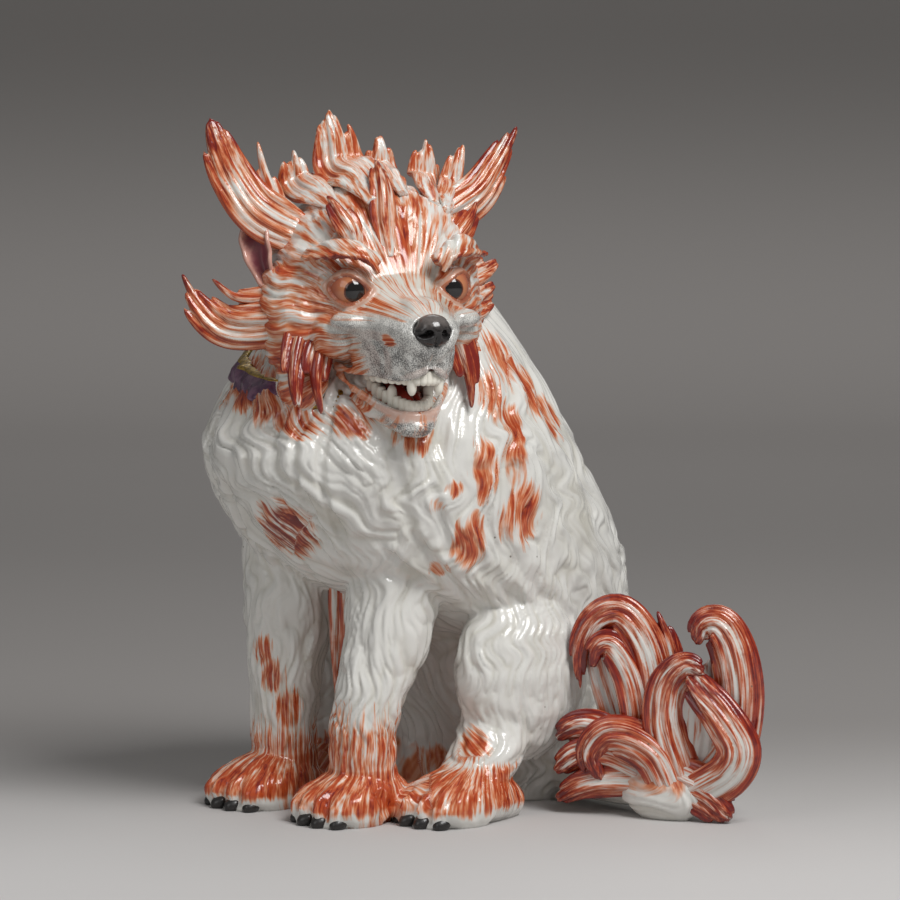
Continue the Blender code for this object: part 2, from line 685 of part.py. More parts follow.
# Locks of the head: root as shares of skull, width and rise, then the path from it ahead, to the left and
# up as shares of the locks' reach, then width and depth as shares of the thickest lock
HEAD_LOCKS = (
    Lock("horn_lock_right", (0.08, -0.76, 0.45), ((-0.03, -0.26, 0.14), (-0.10, -0.39, 0.34),
         (-0.13, -0.48, 0.56), (-0.15, -0.52, 0.72)), 1.20, 1.10),
    Lock("horn_spike_right", (0.00, -0.94, 0.68), ((-0.02, -0.04, 0.13), (-0.04, -0.08, 0.27),
         (-0.06, -0.11, 0.43)), 0.53, 0.67),
    Lock("horn_lock_left", (0.08, 0.65, 0.56), ((-0.06, 0.16, 0.08), (-0.10, 0.31, 0.18),
         (-0.16, 0.47, 0.37), (-0.20, 0.61, 0.59)), 1.13, 1.10),
    Lock("crown_lock_centre", (-0.24, -0.20, 0.84), ((-0.02, -0.02, 0.18), (-0.05, -0.04, 0.36),
         (-0.07, -0.07, 0.52)), 1.33, 1.00),
    Lock("crown_lock_right", (-0.29, -0.61, 0.76), ((-0.01, -0.01, 0.12), (-0.02, -0.03, 0.22),
         (-0.02, -0.04, 0.32)), 1.00, 0.89),
    Lock("crown_lock_left", (-0.35, 0.21, 0.86), ((-0.01, 0.00, 0.14), (-0.02, 0.00, 0.25),
         (-0.03, 0.00, 0.36)), 0.87, 0.89),
    Lock("crown_lock_side", (-0.29, 0.62, 0.74), ((-0.01, 0.01, 0.14), (-0.02, 0.02, 0.27),
         (-0.02, 0.03, 0.39)), 0.93, 0.89),
    Lock("crown_lock_outer", (-0.16, 0.80, 0.62), ((-0.01, 0.05, 0.16), (-0.03, 0.09, 0.31),
         (-0.05, 0.13, 0.45)), 0.80, 0.89),
    Lock("forelock", (0.60, -0.10, 0.56), ((-0.06, 0.01, 0.18), (-0.15, 0.02, 0.30),
         (-0.23, 0.03, 0.38)), 0.60, 0.67),
    Lock("brow_flick_right", (0.66, -0.45, 0.50), ((-0.04, -0.04, 0.08), (-0.08, -0.08, 0.15),
         (-0.12, -0.11, 0.21)), 0.47, 0.56),
    Lock("brow_flick_left", (0.40, 0.72, 0.42), ((-0.04, 0.06, 0.06), (-0.08, 0.12, 0.12),
         (-0.12, 0.17, 0.20)), 0.47, 0.56),
    Lock("cheek_lock_right", (0.36, -0.80, -0.35), ((-0.14, -0.22, -0.08), (-0.28, -0.42, -0.08),
         (-0.36, -0.57, 0.06), (-0.40, -0.66, 0.24)), 1.07, 1.00),
    Lock("cheek_lock_right_upper", (0.25, -0.86, -0.14), ((-0.10, -0.18, -0.04), (-0.20, -0.33, -0.03),
         (-0.28, -0.44, 0.08)), 0.53, 0.67),
    Lock("cheek_lock_left_upper", (0.16, 0.84, -0.04), ((-0.06, 0.10, 0.01), (-0.12, 0.21, 0.04),
         (-0.18, 0.33, 0.10)), 0.47, 0.67),
    Lock("cheek_lock_left_middle", (0.19, 0.84, -0.22), ((-0.05, 0.09, 0.00), (-0.10, 0.18, 0.02),
         (-0.16, 0.29, 0.07)), 0.40, 0.67),
    Lock("cheek_lock_left_lower", (0.22, 0.82, -0.40), ((-0.04, 0.09, 0.00), (-0.09, 0.17, 0.02),
         (-0.14, 0.27, 0.06)), 0.40, 0.67),
    Lock("jowl_lock_right_outer", (0.45, -0.86, -0.58), ((0.06, -0.06, -0.14), (0.13, -0.09, -0.30),
         (0.18, -0.08, -0.50)), 0.60, 0.78),
    Lock("jowl_lock_right_inner", (0.58, -0.74, -0.72), ((0.05, -0.04, -0.12), (0.08, -0.04, -0.24),
         (0.10, -0.02, -0.38)), 0.47, 0.67),
    Lock("jowl_lock_left", (0.76, 0.56, -0.60), ((0.04, 0.04, -0.14), (0.07, 0.06, -0.28),
         (0.08, 0.07, -0.44)), 0.53, 0.78),
)


def build_head_locks():
    """The frill of locks round the head, each rooted in it and facing the way it looks."""
    facing = head_axis(1, 0, 0)
    for lock in HEAD_LOCKS:
        forward, aside, rise = lock.root
        root = head_point(forward * SKULL_REACH, aside * HEAD_HALF_WIDTH, rise * HEAD_RISE)
        inward = (head_point(0, 0, 0) - root).normalized() * ROOT_SINK
        points = [root + inward, root]
        points += [root + head_axis(*stage) * HEAD_LOCK_REACH for stage in lock.path]
        lute(lock_form(lock.name, points, lock.wide * HEAD_LOCK_HALF_WIDTH, lock.deep * HEAD_LOCK_HALF_DEPTH,
                       facing, red))


def build_brows_and_ears():
    """The overhanging brows, each above its eye, and the ears behind the cheeks."""
    for side, sign in (("left", 1), ("right", -1)):
        eye = (EYE_FORWARD, sign * EYE_SPREAD, EYE_RISE)
        inner = head_point(eye[0] + 0.8 * EYE_RADIUS, eye[1] - sign * 1.3 * EYE_RADIUS, eye[2] + EYE_RADIUS)
        middle = head_point(eye[0] + 0.6 * EYE_RADIUS, eye[1] - sign * 0.2 * EYE_RADIUS,
                            eye[2] + 1.5 * EYE_RADIUS)
        outer = head_point(eye[0] - 0.3 * EYE_RADIUS, eye[1] + sign * 1.0 * EYE_RADIUS,
                           eye[2] + 1.2 * EYE_RADIUS)
        end = head_point(eye[0] - 1.1 * EYE_RADIUS, eye[1] + sign * 1.8 * EYE_RADIUS,
                         eye[2] + 0.9 * EYE_RADIUS)
        lute(lock_form("brow_" + side, (inner, middle, outer, end), BROW_HALF_WIDTH, BROW_HALF_DEPTH,
                       head_axis(1, 0, 0), red))
        aside = sign * HEAD_HALF_WIDTH
        ear = (
            head_point(-0.08 * SKULL_REACH, 1.02 * aside, 0.58 * HEAD_RISE),
            head_point(-0.03 * SKULL_REACH, 1.09 * aside, 0.40 * HEAD_RISE),
            head_point(0, 1.09 * aside, 0.18 * HEAD_RISE),
            head_point(0, 1.00 * aside, -0.10 * HEAD_RISE),
        )
        lute(lock_form("ear_" + side, ear, EAR_HALF_WIDTH, EAR_HALF_DEPTH, head_axis(1, 0, 0), mauve))


def body_at(height):
    """The body's outline ring at a height."""
    return min(body_rings(0, 0, BODY_TOP, 40 * BODY_RINGS), key=lambda ring: abs(ring.centre.z - height))


def neck_point(angle, rise):
    """A point on the neck at an angle round it, at the collar's height or a little off it."""
    height = BODY_TOP - COLLAR_DROP + COLLAR_TILT * math.sin(angle) + rise
    neck = body_at(height)
    reach_back = neck.up if math.sin(angle) > 0 else neck.down
    return Vector((neck.right * math.cos(angle), neck.centre.y + reach_back * math.sin(angle), height))


def build_collar():
    """The band round the right side and front of the neck; hair hides the rest of the way round."""
    rings = []
    for step in range(COLLAR_RINGS):
        angle = COLLAR_START + (COLLAR_END - COLLAR_START) * step / (COLLAR_RINGS - 1)
        across = (neck_point(angle, COLLAR_WIDTH / 2) - neck_point(angle, -COLLAR_WIDTH / 2)).normalized()
        along = (neck_point(angle + 0.1, 0) - neck_point(angle - 0.1, 0)).normalized()
        rings.append(Ring(neck_point(angle, 0), across, across.cross(along), COLLAR_WIDTH / 2,
                          COLLAR_WIDTH / 2, COLLAR_THICKNESS, COLLAR_THICKNESS))
    lute(loft("collar", rings, LOCK_SIDES, purple))


def build_belly_lock():
    """The pointed lock that hangs from the chest between the forelegs."""
    root = Vector((0, -BELLY_LOCK_FORWARD, 0.4 * BODY_TOP))
    points = [root + UP * ROOT_SINK, root, root - UP * 0.5 * BELLY_LOCK_HANG, root - UP * BELLY_LOCK_HANG]
    lute(lock_form("belly_lock", points, BELLY_LOCK_HALF_WIDTH, 0.8 * BELLY_LOCK_HALF_WIDTH, FORWARD, red))


# Locks of the tail: path as shares of the tail's reach from the place where it leaves the body, out, back
# and up, then width and depth as shares of the usual lock
TAIL_LOCKS = (
    Lock("tail_leaf_left", None, ((0.76, -0.02, -0.04), (0.72, -0.05, 0.26), (0.63, -0.10, 0.60),
         (0.57, -0.16, 0.90), (0.53, -0.20, 1.02)), 1.87, 0.78),
    Lock("tail_leaf_right", None, ((1.08, 0.08, -0.03), (1.16, 0.09, 0.27), (1.18, 0.08, 0.56),
         (1.17, 0.08, 0.82)), 1.73, 0.78),
    Lock("tail_lock_scroll", None, ((0.67, -0.06, 0.03), (0.76, -0.05, 0.29), (0.82, -0.07, 0.58),
         (0.77, -0.12, 0.88), (0.65, -0.20, 1.06), (0.52, -0.28, 1.02), (0.44, -0.34, 0.84),
         (0.44, -0.35, 0.57)), 0.93, 1.00),
    Lock("tail_lock_scroll_inner", None, ((0.73, -0.15, 0.08), (0.77, -0.16, 0.40), (0.73, -0.20, 0.68),
         (0.64, -0.27, 0.86), (0.57, -0.33, 0.84), (0.55, -0.36, 0.72)), 0.80, 0.89),
    Lock("tail_lock_spike", None, ((0.84, -0.02, 0.10), (0.88, 0.00, 0.37), (0.88, 0.02, 0.60),
         (0.85, 0.02, 0.85), (0.78, -0.02, 1.08)), 0.67, 0.78),
    Lock("tail_lock_tall", None, ((1.09, 0.08, 0.02), (1.26, 0.14, 0.23), (1.33, 0.15, 0.54),
         (1.33, 0.11, 0.83), (1.26, 0.06, 1.01), (1.17, 0.01, 1.01), (1.14, -0.02, 0.89)), 1.13, 1.00),
    Lock("tail_lock_middle", None, ((1.10, -0.04, -0.05), (1.03, -0.09, 0.17), (0.97, -0.13, 0.42),
         (0.99, -0.12, 0.64), (1.10, -0.08, 0.76), (1.22, -0.03, 0.72)), 1.00, 1.00),
    Lock("tail_lock_low", None, ((1.01, -0.13, 0.02), (0.94, -0.19, 0.20), (0.80, -0.27, 0.30),
         (0.66, -0.34, 0.30), (0.58, -0.38, 0.18), (0.64, -0.35, 0.02)), 1.00, 1.00),
    Lock("tail_lock_tip", None, ((0.90, -0.08, 0.06), (1.08, -0.06, 0.03), (1.23, -0.01, -0.04),
         (1.37, 0.06, -0.18)), 1.20, 1.11),
    Lock("tail_lock_front", None, ((1.16, -0.04, -0.03), (1.37, 0.02, 0.11), (1.45, 0.03, 0.28),
         (1.35, -0.02, 0.48), (1.20, -0.06, 0.63), (1.11, -0.08, 0.72)), 1.00, 1.00),
    Lock("tail_lock_fan_upper", None, ((0.75, -0.18, 0.18), (0.60, -0.29, 0.31), (0.45, -0.38, 0.34),
         (0.31, -0.44, 0.26)), 0.87, 0.89),
    Lock("tail_lock_fan_middle", None, ((0.80, -0.18, 0.09), (0.64, -0.31, 0.18), (0.47, -0.41, 0.17),
         (0.32, -0.46, 0.05)), 0.80, 0.89),
    Lock("tail_lock_fan_lower", None, ((0.80, -0.18, 0.02), (0.64, -0.31, 0.02), (0.49, -0.40, -0.02),
         (0.33, -0.46, -0.12)), 0.73, 0.78),
)


def build_tail():
    """The tail stem along the ground on the dog's left, and the curled locks that rise from it."""
    origin = Vector((TAIL_OUT, TAIL_BACK, TAIL_HEIGHT))
    stem = []
    keys = ((-0.30, 0, 0.02, 0.9), (0.10, -0.05, 0.02, 1.0), (0.50, -0.10, 0.02, 1.0),
            (0.85, -0.06, 0.02, 0.95), (1.12, 0.02, 0.02, 0.6), (1.20, 0.04, 0.02, 0.2))
    for out, back, rise, size in spline(keys, LIMB_RINGS):
        centre = origin + Vector((out, back, rise)) * TAIL_REACH
        radius = size * TAIL_STEM_RADIUS
        stem.append(Ring(centre, -FORWARD, UP, radius, radius, radius, radius))
    lute(loft("tail_stem", stem, LIMB_SIDES, white))
    facing = (LEFT + FORWARD).normalized()
    for lock in TAIL_LOCKS:
        points = [origin + Vector(stage) * TAIL_REACH for stage in lock.path]
        lute(lock_form(lock.name, points, lock.wide * TAIL_LOCK_HALF_WIDTH, lock.deep * TAIL_LOCK_HALF_DEPTH,
                       facing, red))


def centre_on_ground():
    """Sets the figure so that the origin is at the bottom centre of its box."""
    reaches = [reach(item.data) for item in placed]
    low = [min(corner[0][axis] for corner in reaches) for axis in range(3)]
    high = [max(corner[1][axis] for corner in reaches) for axis in range(3)]
    shift = Vector(((low[0] + high[0]) / 2, (low[1] + high[1]) / 2, low[2]))
    for item in placed:
        item.location = -shift


def main():
    """Builds the figure from the ground up."""
    build_body()
    build_feet()
    build_eyes_and_nose()
    build_head()
    build_jaw()
    build_mouth()
    build_brows_and_ears()
    build_head_locks()
    build_collar()
    build_belly_lock()
    build_tail()
    hollow_body()
    centre_on_ground()


clear_scene()
assembly = bpy.data.collections.new("porcelain_dog")
cutters = bpy.data.collections.new("cutters")
bpy.context.scene.collection.children.link(assembly)
bpy.context.scene.collection.children.link(cutters)
placed = []
whole_forms = {}
white = finish("white_glaze", (0.86, 0.85, 0.81), 0.14)
red = finish("iron_red_glaze", (0.55, 0.13, 0.06), 0.18)
dark_red = finish("dark_red_glaze", (0.25, 0.03, 0.03), 0.2)
amber = finish("amber_eye_glaze", (0.55, 0.22, 0.06), 0.1)
black = finish("black_glaze", (0.03, 0.025, 0.025), 0.15)
ivory = finish("tooth_glaze", (0.86, 0.82, 0.72), 0.15)
mauve = finish("mauve_glaze", (0.62, 0.32, 0.36), 0.2)
purple = finish("purple_gilt_glaze", (0.28, 0.16, 0.32), 0.2)
main()
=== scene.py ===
"""Seated porcelain dog, glazed and painted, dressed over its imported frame.

The figure stands on z = 0, its body faces -Y and its left side is +X. Sizes are in metres.
"""
import logging
import math
from dataclasses import dataclass
from enum import Enum
from typing import Sequence

import bmesh
import bpy
import numpy as np
from mathutils import Matrix, Vector


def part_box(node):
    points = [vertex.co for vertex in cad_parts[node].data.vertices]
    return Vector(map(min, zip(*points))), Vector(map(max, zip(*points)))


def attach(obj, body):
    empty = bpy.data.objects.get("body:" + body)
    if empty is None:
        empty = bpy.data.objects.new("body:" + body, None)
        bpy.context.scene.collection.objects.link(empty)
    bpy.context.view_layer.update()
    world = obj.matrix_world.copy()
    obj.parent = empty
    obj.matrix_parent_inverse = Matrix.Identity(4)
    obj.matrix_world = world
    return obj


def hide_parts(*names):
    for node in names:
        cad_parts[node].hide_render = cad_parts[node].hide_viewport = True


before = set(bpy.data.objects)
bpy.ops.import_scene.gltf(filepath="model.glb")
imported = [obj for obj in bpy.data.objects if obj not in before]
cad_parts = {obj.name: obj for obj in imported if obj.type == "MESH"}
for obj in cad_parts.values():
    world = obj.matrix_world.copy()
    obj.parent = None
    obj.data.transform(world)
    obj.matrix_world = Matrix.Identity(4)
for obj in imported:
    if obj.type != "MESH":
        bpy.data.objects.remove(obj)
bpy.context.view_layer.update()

BODY = "root"
MM = 0.001
UP = np.array((0.0, 0.0, 1.0))

Colour = tuple[float, float, float]
Triple = tuple[float, float, float]
Array = np.ndarray
Mesh = bpy.types.Mesh
Shape = bmesh.types.BMesh
Edges = list[bmesh.types.BMEdge]
Socket = bpy.types.NodeSocket
Feed = Socket | float | tuple[float, ...]

log = logging.getLogger("porcelain_dog")


# Frames of reference

def unit(vectors: Array) -> Array:
    """Vectors scaled to length one."""
    return vectors / np.maximum(np.linalg.norm(vectors, axis=-1, keepdims=True), 1e-9)


def ease(low: float, high: float, value: Array) -> Array:
    """Smooth step of some values from 0 at low to 1 at high, which may be less than low."""
    share = np.clip((value - low) / (high - low), 0, 1)
    return share * share * (3 - 2 * share)


@dataclass(frozen=True)
class HeadFrame:
    """The head's own axes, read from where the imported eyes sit."""

    centre: Array
    ahead: Array
    left: Array

    EYE_FORWARD = 46 * MM
    EYE_DROP = 5 * MM

    @classmethod
    def from_eyes(cls) -> "HeadFrame":
        """Reads the frame from the two eye nodes.

        Returns:
            The head's frame.
        """
        left_eye = np.array(sum(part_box("eye_left"), Vector())) / 2
        right_eye = np.array(sum(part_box("eye_right"), Vector())) / 2
        left = unit(left_eye - right_eye)
        ahead = unit(np.cross(left, UP))
        centre = (left_eye + right_eye) / 2 - ahead * cls.EYE_FORWARD + UP * cls.EYE_DROP
        return cls(centre, ahead, left)

    def point(self, ahead: float, left: float, up: float) -> Array:
        """A point given in the head's frame, in the figure's frame."""
        return self.centre + self.axis(ahead, left, up)

    def axis(self, ahead: float, left: float, up: float) -> Array:
        """A direction given in the head's frame, in the figure's frame."""
        return self.ahead * ahead + self.left * left + UP * up

    def places(self, points: Array) -> tuple[Array, Array, Array]:
        """How far points lie ahead, to the left and up from the head's centre."""
        offset = points - self.centre
        return offset @ self.ahead, offset @ self.left, offset[:, 2]

    def millimetres(self, points: Array) -> list[Array]:
        """How far points lie ahead, to the left and up from the head's centre, in millimetres."""
        return [value / MM for value in self.places(points)]


HEAD = HeadFrame.from_eyes()
HEAD_IN_LAYOUT = np.array((32, -30, 337)) * MM
LAYOUT = HEAD.centre - HEAD_IN_LAYOUT


def layout(*place: float) -> Array:
    """A point given in millimetres from the ground under the chest, in the figure's frame."""
    return LAYOUT + np.array(place) * MM


def metres(sizes: Sequence[float]) -> tuple[float, ...]:
    """Sizes given in millimetres, in metres."""
    return tuple(np.array(sizes) * MM)


# Random grain

class Grain:
    """Seeded smooth random values that fill space."""

    SIZE = 64
    SIDE = SIZE + 1
    FAR = 1024.0

    def __init__(self, seed: int) -> None:
        """Fills the lattice of random values, which repeats after its last layer."""
        table = np.random.default_rng(seed).random((self.SIZE,) * 3, dtype=np.float32)
        self.values = np.pad(table, (0, 1), mode="wrap").ravel()

    def at(self, points: Array, scale: float) -> Array:
        """Random values between 0 and 1 at some points.

        Args:
            points: Points in space.
            scale: Distance over which the values change.

        Returns:
            One value for each point.
        """
        place = (points / scale + self.FAR).astype(np.float32)
        cell = np.floor(place)
        share = place - cell
        share = share * share * (3 - 2 * share)
        index = cell.astype(np.int32) & (self.SIZE - 1)
        base = (index[:, 0] * self.SIDE + index[:, 1]) * self.SIDE + index[:, 2]
        total = np.zeros(len(points), dtype=np.float32)
        for corner in np.ndindex(2, 2, 2):
            weight = np.prod([share[:, axis] if far else 1 - share[:, axis]
                              for axis, far in enumerate(corner)], axis=0)
            step = (corner[0] * self.SIDE + corner[1]) * self.SIDE + corner[2]
            total += weight * self.values[base + step]
        return total


def spline(keys: Sequence[Array], shares: Array) -> Array:
    """Points on a smooth curve through some keys.

    Args:
        keys: Points that the curve goes through.
        shares: How far along the curve, from 0 to 1.

    Returns:
        One point for each share.
    """
    knots = np.array(keys, dtype=float)
    last = len(knots) - 1
    span = np.minimum((shares * last).astype(int), last - 1)
    t = (shares * last - span)[:, None]
    a = knots[np.maximum(span - 1, 0)]
    b = knots[span]
    c = knots[span + 1]
    d = knots[np.minimum(span + 2, last)]
    return 0.5 * (2 * b + (c - a) * t + (2 * a - 5 * b + 4 * c - d) * t**2
                  + (3 * b - a - 3 * c + d) * t**3)


def graded(values: Sequence[float], shares: Array) -> Array:
    """Values at shares of the way along a row of evenly spaced ones."""
    return np.interp(shares, np.linspace(0, 1, len(values)), values)


# Mesh tools

def coordinates(mesh: Mesh) -> Array:
    """The places of a mesh's vertices."""
    values = np.empty(len(mesh.vertices) * 3)
    mesh.vertices.foreach_get("co", values)
    return values.reshape(-1, 3)


def directions(mesh: Mesh) -> Array:
    """The normals of a mesh's vertices."""
    values = np.empty(len(mesh.vertices) * 3)
    mesh.vertex_normals.foreach_get("vector", values)
    return values.reshape(-1, 3)


def reshape(mesh: Mesh, points: Array) -> None:
    """Moves a mesh's vertices to new places."""
    mesh.vertices.foreach_set("co", points.astype(np.float32).ravel())
    mesh.update()


def paint(mesh: Mesh, **layers: Array) -> None:
    """Stores values or vectors for the finish on a mesh's vertices, one named layer each."""
    for name, values in layers.items():
        flat = np.asarray(values, dtype=np.float32)
        kind, field = ("FLOAT", "value") if flat.ndim == 1 else ("FLOAT_VECTOR", "vector")
        mesh.attributes.new(name, kind, "POINT").data.foreach_set(field, flat.ravel())


def as_mesh(name: str, shape: Shape) -> Mesh:
    """Turns a bmesh into a smooth-shaded mesh and frees it."""
    mesh = bpy.data.meshes.new(name)
    shape.to_mesh(mesh)
    shape.free()
    mesh.shade_smooth()
    return mesh


def gather(nodes: Sequence[str], swell: float) -> Shape:
    """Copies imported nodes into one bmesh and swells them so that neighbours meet.

    Args:
        nodes: Names of the nodes.
        swell: How far each surface moves outwards.

    Returns:
        A bmesh that holds every copy.
    """
    shape = bmesh.new()
    for node in nodes:
        part = bmesh.new()
        part.from_mesh(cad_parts[node].data)
        bmesh.ops.remove_doubles(part, verts=part.verts, dist=0.01 * MM)
        part.normal_update()
        for vert in part.verts:
            vert.co += vert.normal * swell
        copy = bpy.data.meshes.new(node)
        part.to_mesh(copy)
        part.free()
        shape.from_mesh(copy)
        bpy.data.meshes.remove(copy)
    return shape


def evaluated(mesh: Mesh, *changes: tuple[str, dict]) -> Mesh:
    """Applies modifiers to a mesh.

    Args:
        mesh: The mesh, which is used up.
        changes: Each modifier's type and settings.

    Returns:
        The changed mesh.
    """
    item = bpy.data.objects.new("blank", mesh)
    bpy.context.scene.collection.objects.link(item)
    for kind, settings in changes:
        change = item.modifiers.new(kind, kind)
        for key, value in settings.items():
            setattr(change, key, value)
    bpy.context.view_layer.update()
    result = bpy.data.meshes.new_from_object(item.evaluated_get(bpy.context.evaluated_depsgraph_get()))
    bpy.data.objects.remove(item)
    bpy.data.meshes.remove(mesh)
    return result


def fused(mesh: Mesh, fineness: float, softening: int) -> Mesh:
    """One closed skin of a given fineness over all forms of a mesh, which is used up, then softened."""
    return evaluated(
        mesh,
        ("REMESH", {"mode": "VOXEL", "voxel_size": fineness, "use_smooth_shade": True}),
        ("SMOOTH", {"factor": 0.5, "iterations": softening}))


RIDGE_SPAN = 0.62
RIDGE_ROUNDING = 0.7
RIDGE_LEVEL = 0.62
GROOVE_SHARPNESS = 1.5


def billow(streaks: Array) -> Array:
    """Rounded ridges with narrow grooves between them, from 0 in a groove to 1, made from streaks."""
    return np.clip(np.abs(2 * streaks - 1) / RIDGE_SPAN, 0, 1) ** RIDGE_ROUNDING


def grooves(ridge: Array) -> Array:
    """How deep points lie in the grooves beside some ridges, from 0 to 1."""
    return np.clip(1 - GROOVE_SHARPNESS * ridge, 0, 1)


def nearness(points: Array, path: Array, reach: float) -> Array:
    """How near points lie to a path, from 0 at its reach or beyond to 1 within half of it.

    Args:
        points: Points in space.
        path: Closely spaced points along the path.
        reach: Distance that counts as away from the path.

    Returns:
        One share for each point.
    """
    gap = np.full(len(points), reach)
    for stop in path:
        gap = np.minimum(gap, np.linalg.norm(points - stop, axis=1))
    return ease(reach, 0.5 * reach, gap)


def bridged(shape: Shape, before: Edges, ring: Sequence[bmesh.types.BMVert]) -> Edges:
    """Bridges a new ring to the one before it.

    Args:
        shape: The bmesh.
        before: Edges of the ring before, or none for the first ring.
        ring: Vertices of the new ring.

    Returns:
        The new ring's edges.
    """
    edges = list({edge for vert in ring for edge in vert.link_edges})
    if before:
        bmesh.ops.bridge_loops(shape, edges=before + edges)
    return edges


def add_tube(shape: Shape, path: Sequence[Array], radii: Sequence[float],
             rings: int = 14, sides: int = 10) -> None:
    """Adds a closed tapering tube to a bmesh.

    Args:
        shape: The bmesh.
        path: Points that the tube's middle goes through.
        radii: Radius at evenly spaced places along it.
        rings: Number of rings along the tube.
        sides: Number of points round it.
    """
    shares = np.linspace(0, 1, rings)
    middles = spline(path, shares)
    sizes = graded(radii, shares)
    heads = np.gradient(middles, axis=0)
    before: Edges = []
    for place, (middle, head, size) in enumerate(zip(middles, heads, sizes)):
        turn = Vector(head).to_track_quat("Z", "Y").to_matrix().to_4x4()
        made = bmesh.ops.create_circle(
            shape, cap_ends=place in (0, rings - 1), segments=sides, radius=size,
            matrix=Matrix.Translation(Vector(middle)) @ turn)
        before = bridged(shape, before, made["verts"])
    bmesh.ops.recalc_face_normals(shape, faces=shape.faces)


def add_egg(shape: Shape, centre: Array, half_sizes: Triple, turn: Matrix | None = None,
            fineness: int = 16) -> list[bmesh.types.BMVert]:
    """Adds an egg-shaped form to a bmesh.

    Args:
        shape: The bmesh.
        centre: The egg's centre.
        half_sizes: Its half size along each of its axes.
        turn: How its axes lie, or None for the figure's own.
        fineness: Number of segments round it.

    Returns:
        The new vertices.
    """
    place = Matrix.Translation(Vector(centre)) @ (turn or Matrix.Identity(4))
    made = bmesh.ops.create_uvsphere(
        shape, u_segments=fineness, v_segments=fineness // 2 + 2, radius=1,
        matrix=place @ Matrix.Diagonal((*half_sizes, 1)))
    return made["verts"]


HEAD_TURN = Matrix((HEAD.ahead, HEAD.left, UP)).transposed().to_4x4()


def mirrored(keys: Sequence[Triple], side: int) -> list[Array]:
    """Places in millimetres ahead, aside and up in the head's frame, on its left (1) or right (-1)."""
    return [HEAD.point(ahead * MM, side * aside * MM, up * MM) for ahead, aside, up in keys]


# Finishes

class Nodes:
    """Short hand for building one shader tree."""

    def __init__(self, tree: bpy.types.NodeTree) -> None:
        """Holds the tree that is built and the coordinates that its textures use."""
        self.tree = tree
        self.place: Socket | None = None

    def add(self, kind: str, inputs: dict | None = None, **settings: object) -> bpy.types.Node:
        """Adds a node.

        Args:
            kind: The node's type.
            inputs: Sockets to link or values to set, by input name or number.
            settings: Properties of the node.

        Returns:
            The node.
        """
        node = self.tree.nodes.new(kind)
        for key, value in settings.items():
            setattr(node, key, value)
        self.feed(node, inputs or {})
        return node

    def feed(self, node: bpy.types.Node, inputs: dict) -> None:
        """Links sockets to a node's inputs, or sets values on them.

        Args:
            node: The node.
            inputs: Sockets to link or values to set, by input name or number.
        """
        for key, value in inputs.items():
            if isinstance(value, Socket):
                self.tree.links.new(value, node.inputs[key])
            else:
                node.inputs[key].default_value = value

    def math(self, operation: str, *values: Feed) -> Socket:
        """The result of a Math node on sockets or numbers."""
        return self.add("ShaderNodeMath", dict(enumerate(values)), operation=operation).outputs[0]

    def step(self, value: Feed, low: float, high: float) -> Socket:
        """A smooth step from 0 at low to 1 at high."""
        span = {0: value, 1: low, 2: high}
        return self.add("ShaderNodeMapRange", span, interpolation_type="SMOOTHSTEP").outputs[0]

    def mix(self, share: Feed, first: Feed, second: Feed, blend: str = "MIX") -> Socket:
        """A mix of two colours."""
        parts = {0: share, 6: first, 7: second}
        return self.add("ShaderNodeMix", parts, data_type="RGBA", blend_type=blend).outputs[2]

    def plus(self, value: Feed, factor: Feed, base: Feed) -> Socket:
        """A value times a factor, added to a base."""
        return self.math("MULTIPLY_ADD", value, factor, base)

    def centred(self, value: Feed) -> Socket:
        """A value between 0 and 1, moved to lie round 0."""
        return self.math("SUBTRACT", value, 0.5)

    def noise(self, scale: float, detail: float, vector: Socket | None = None) -> Socket:
        """A noise value that varies over the surface, or along a vector."""
        inputs = {"Vector": self.place if vector is None else vector, "Scale": scale, "Detail": detail}
        return self.add("ShaderNodeTexNoise", inputs).outputs[0]

    def layer(self, name: str) -> Socket:
        """A brush layer stored on the mesh."""
        return self.add("ShaderNodeAttribute", attribute_name=name).outputs["Fac"]


def rgba(colour: Colour) -> tuple[float, float, float, float]:
    """A colour with full alpha."""
    return (*colour, 1.0)


class SocketKind(Enum):
    """Kinds of socket that a node group has."""

    VALUE = "NodeSocketFloat"
    COLOUR = "NodeSocketColor"
    VECTOR = "NodeSocketVector"


def node_group(name: str, inputs: dict[str, SocketKind], outputs: dict[str, SocketKind]
               ) -> tuple[Nodes, dict[str, Socket], bpy.types.Node]:
    """Starts a shader node group.

    Args:
        name: The group's name.
        inputs: Its input sockets.
        outputs: Its output sockets.

    Returns:
        The group's builder, what it is given by name, and its output node.
    """
    tree = bpy.data.node_groups.new(name, "ShaderNodeTree")
    for socket, kind in inputs.items():
        tree.interface.new_socket(socket, in_out="INPUT", socket_type=kind.value)
    for socket, kind in outputs.items():
        tree.interface.new_socket(socket, in_out="OUTPUT", socket_type=kind.value)
    build = Nodes(tree)
    given = {socket.name: socket for socket in build.add("NodeGroupInput").outputs}
    build.place = given["Coordinates"]
    return build, given, build.add("NodeGroupOutput")


STROKE_NOISE = (0.62, 3)
HAIRLINE_NOISE = (2.2, 1)
BLOT_NOISE = (130, 2)
STIPPLE_NOISE = (1300, 4)
MOTTLE_NOISE = (420, 3)
CLOUD_NOISE = (22, 3)
SHEEN_NOISE = (60, 3)
RIPPLE_NOISE = (240, 2)
COVER_EDGE = (-0.26, 0.26)
SPECK_SCALE = 62.0
SPECK_EDGE = (0.055, 0.03)
SPECK_COLOUR = (0.11, 0.085, 0.065)
CLEAR_COAT = {"Coat Weight": 0.3, "Coat Roughness": 0.04}


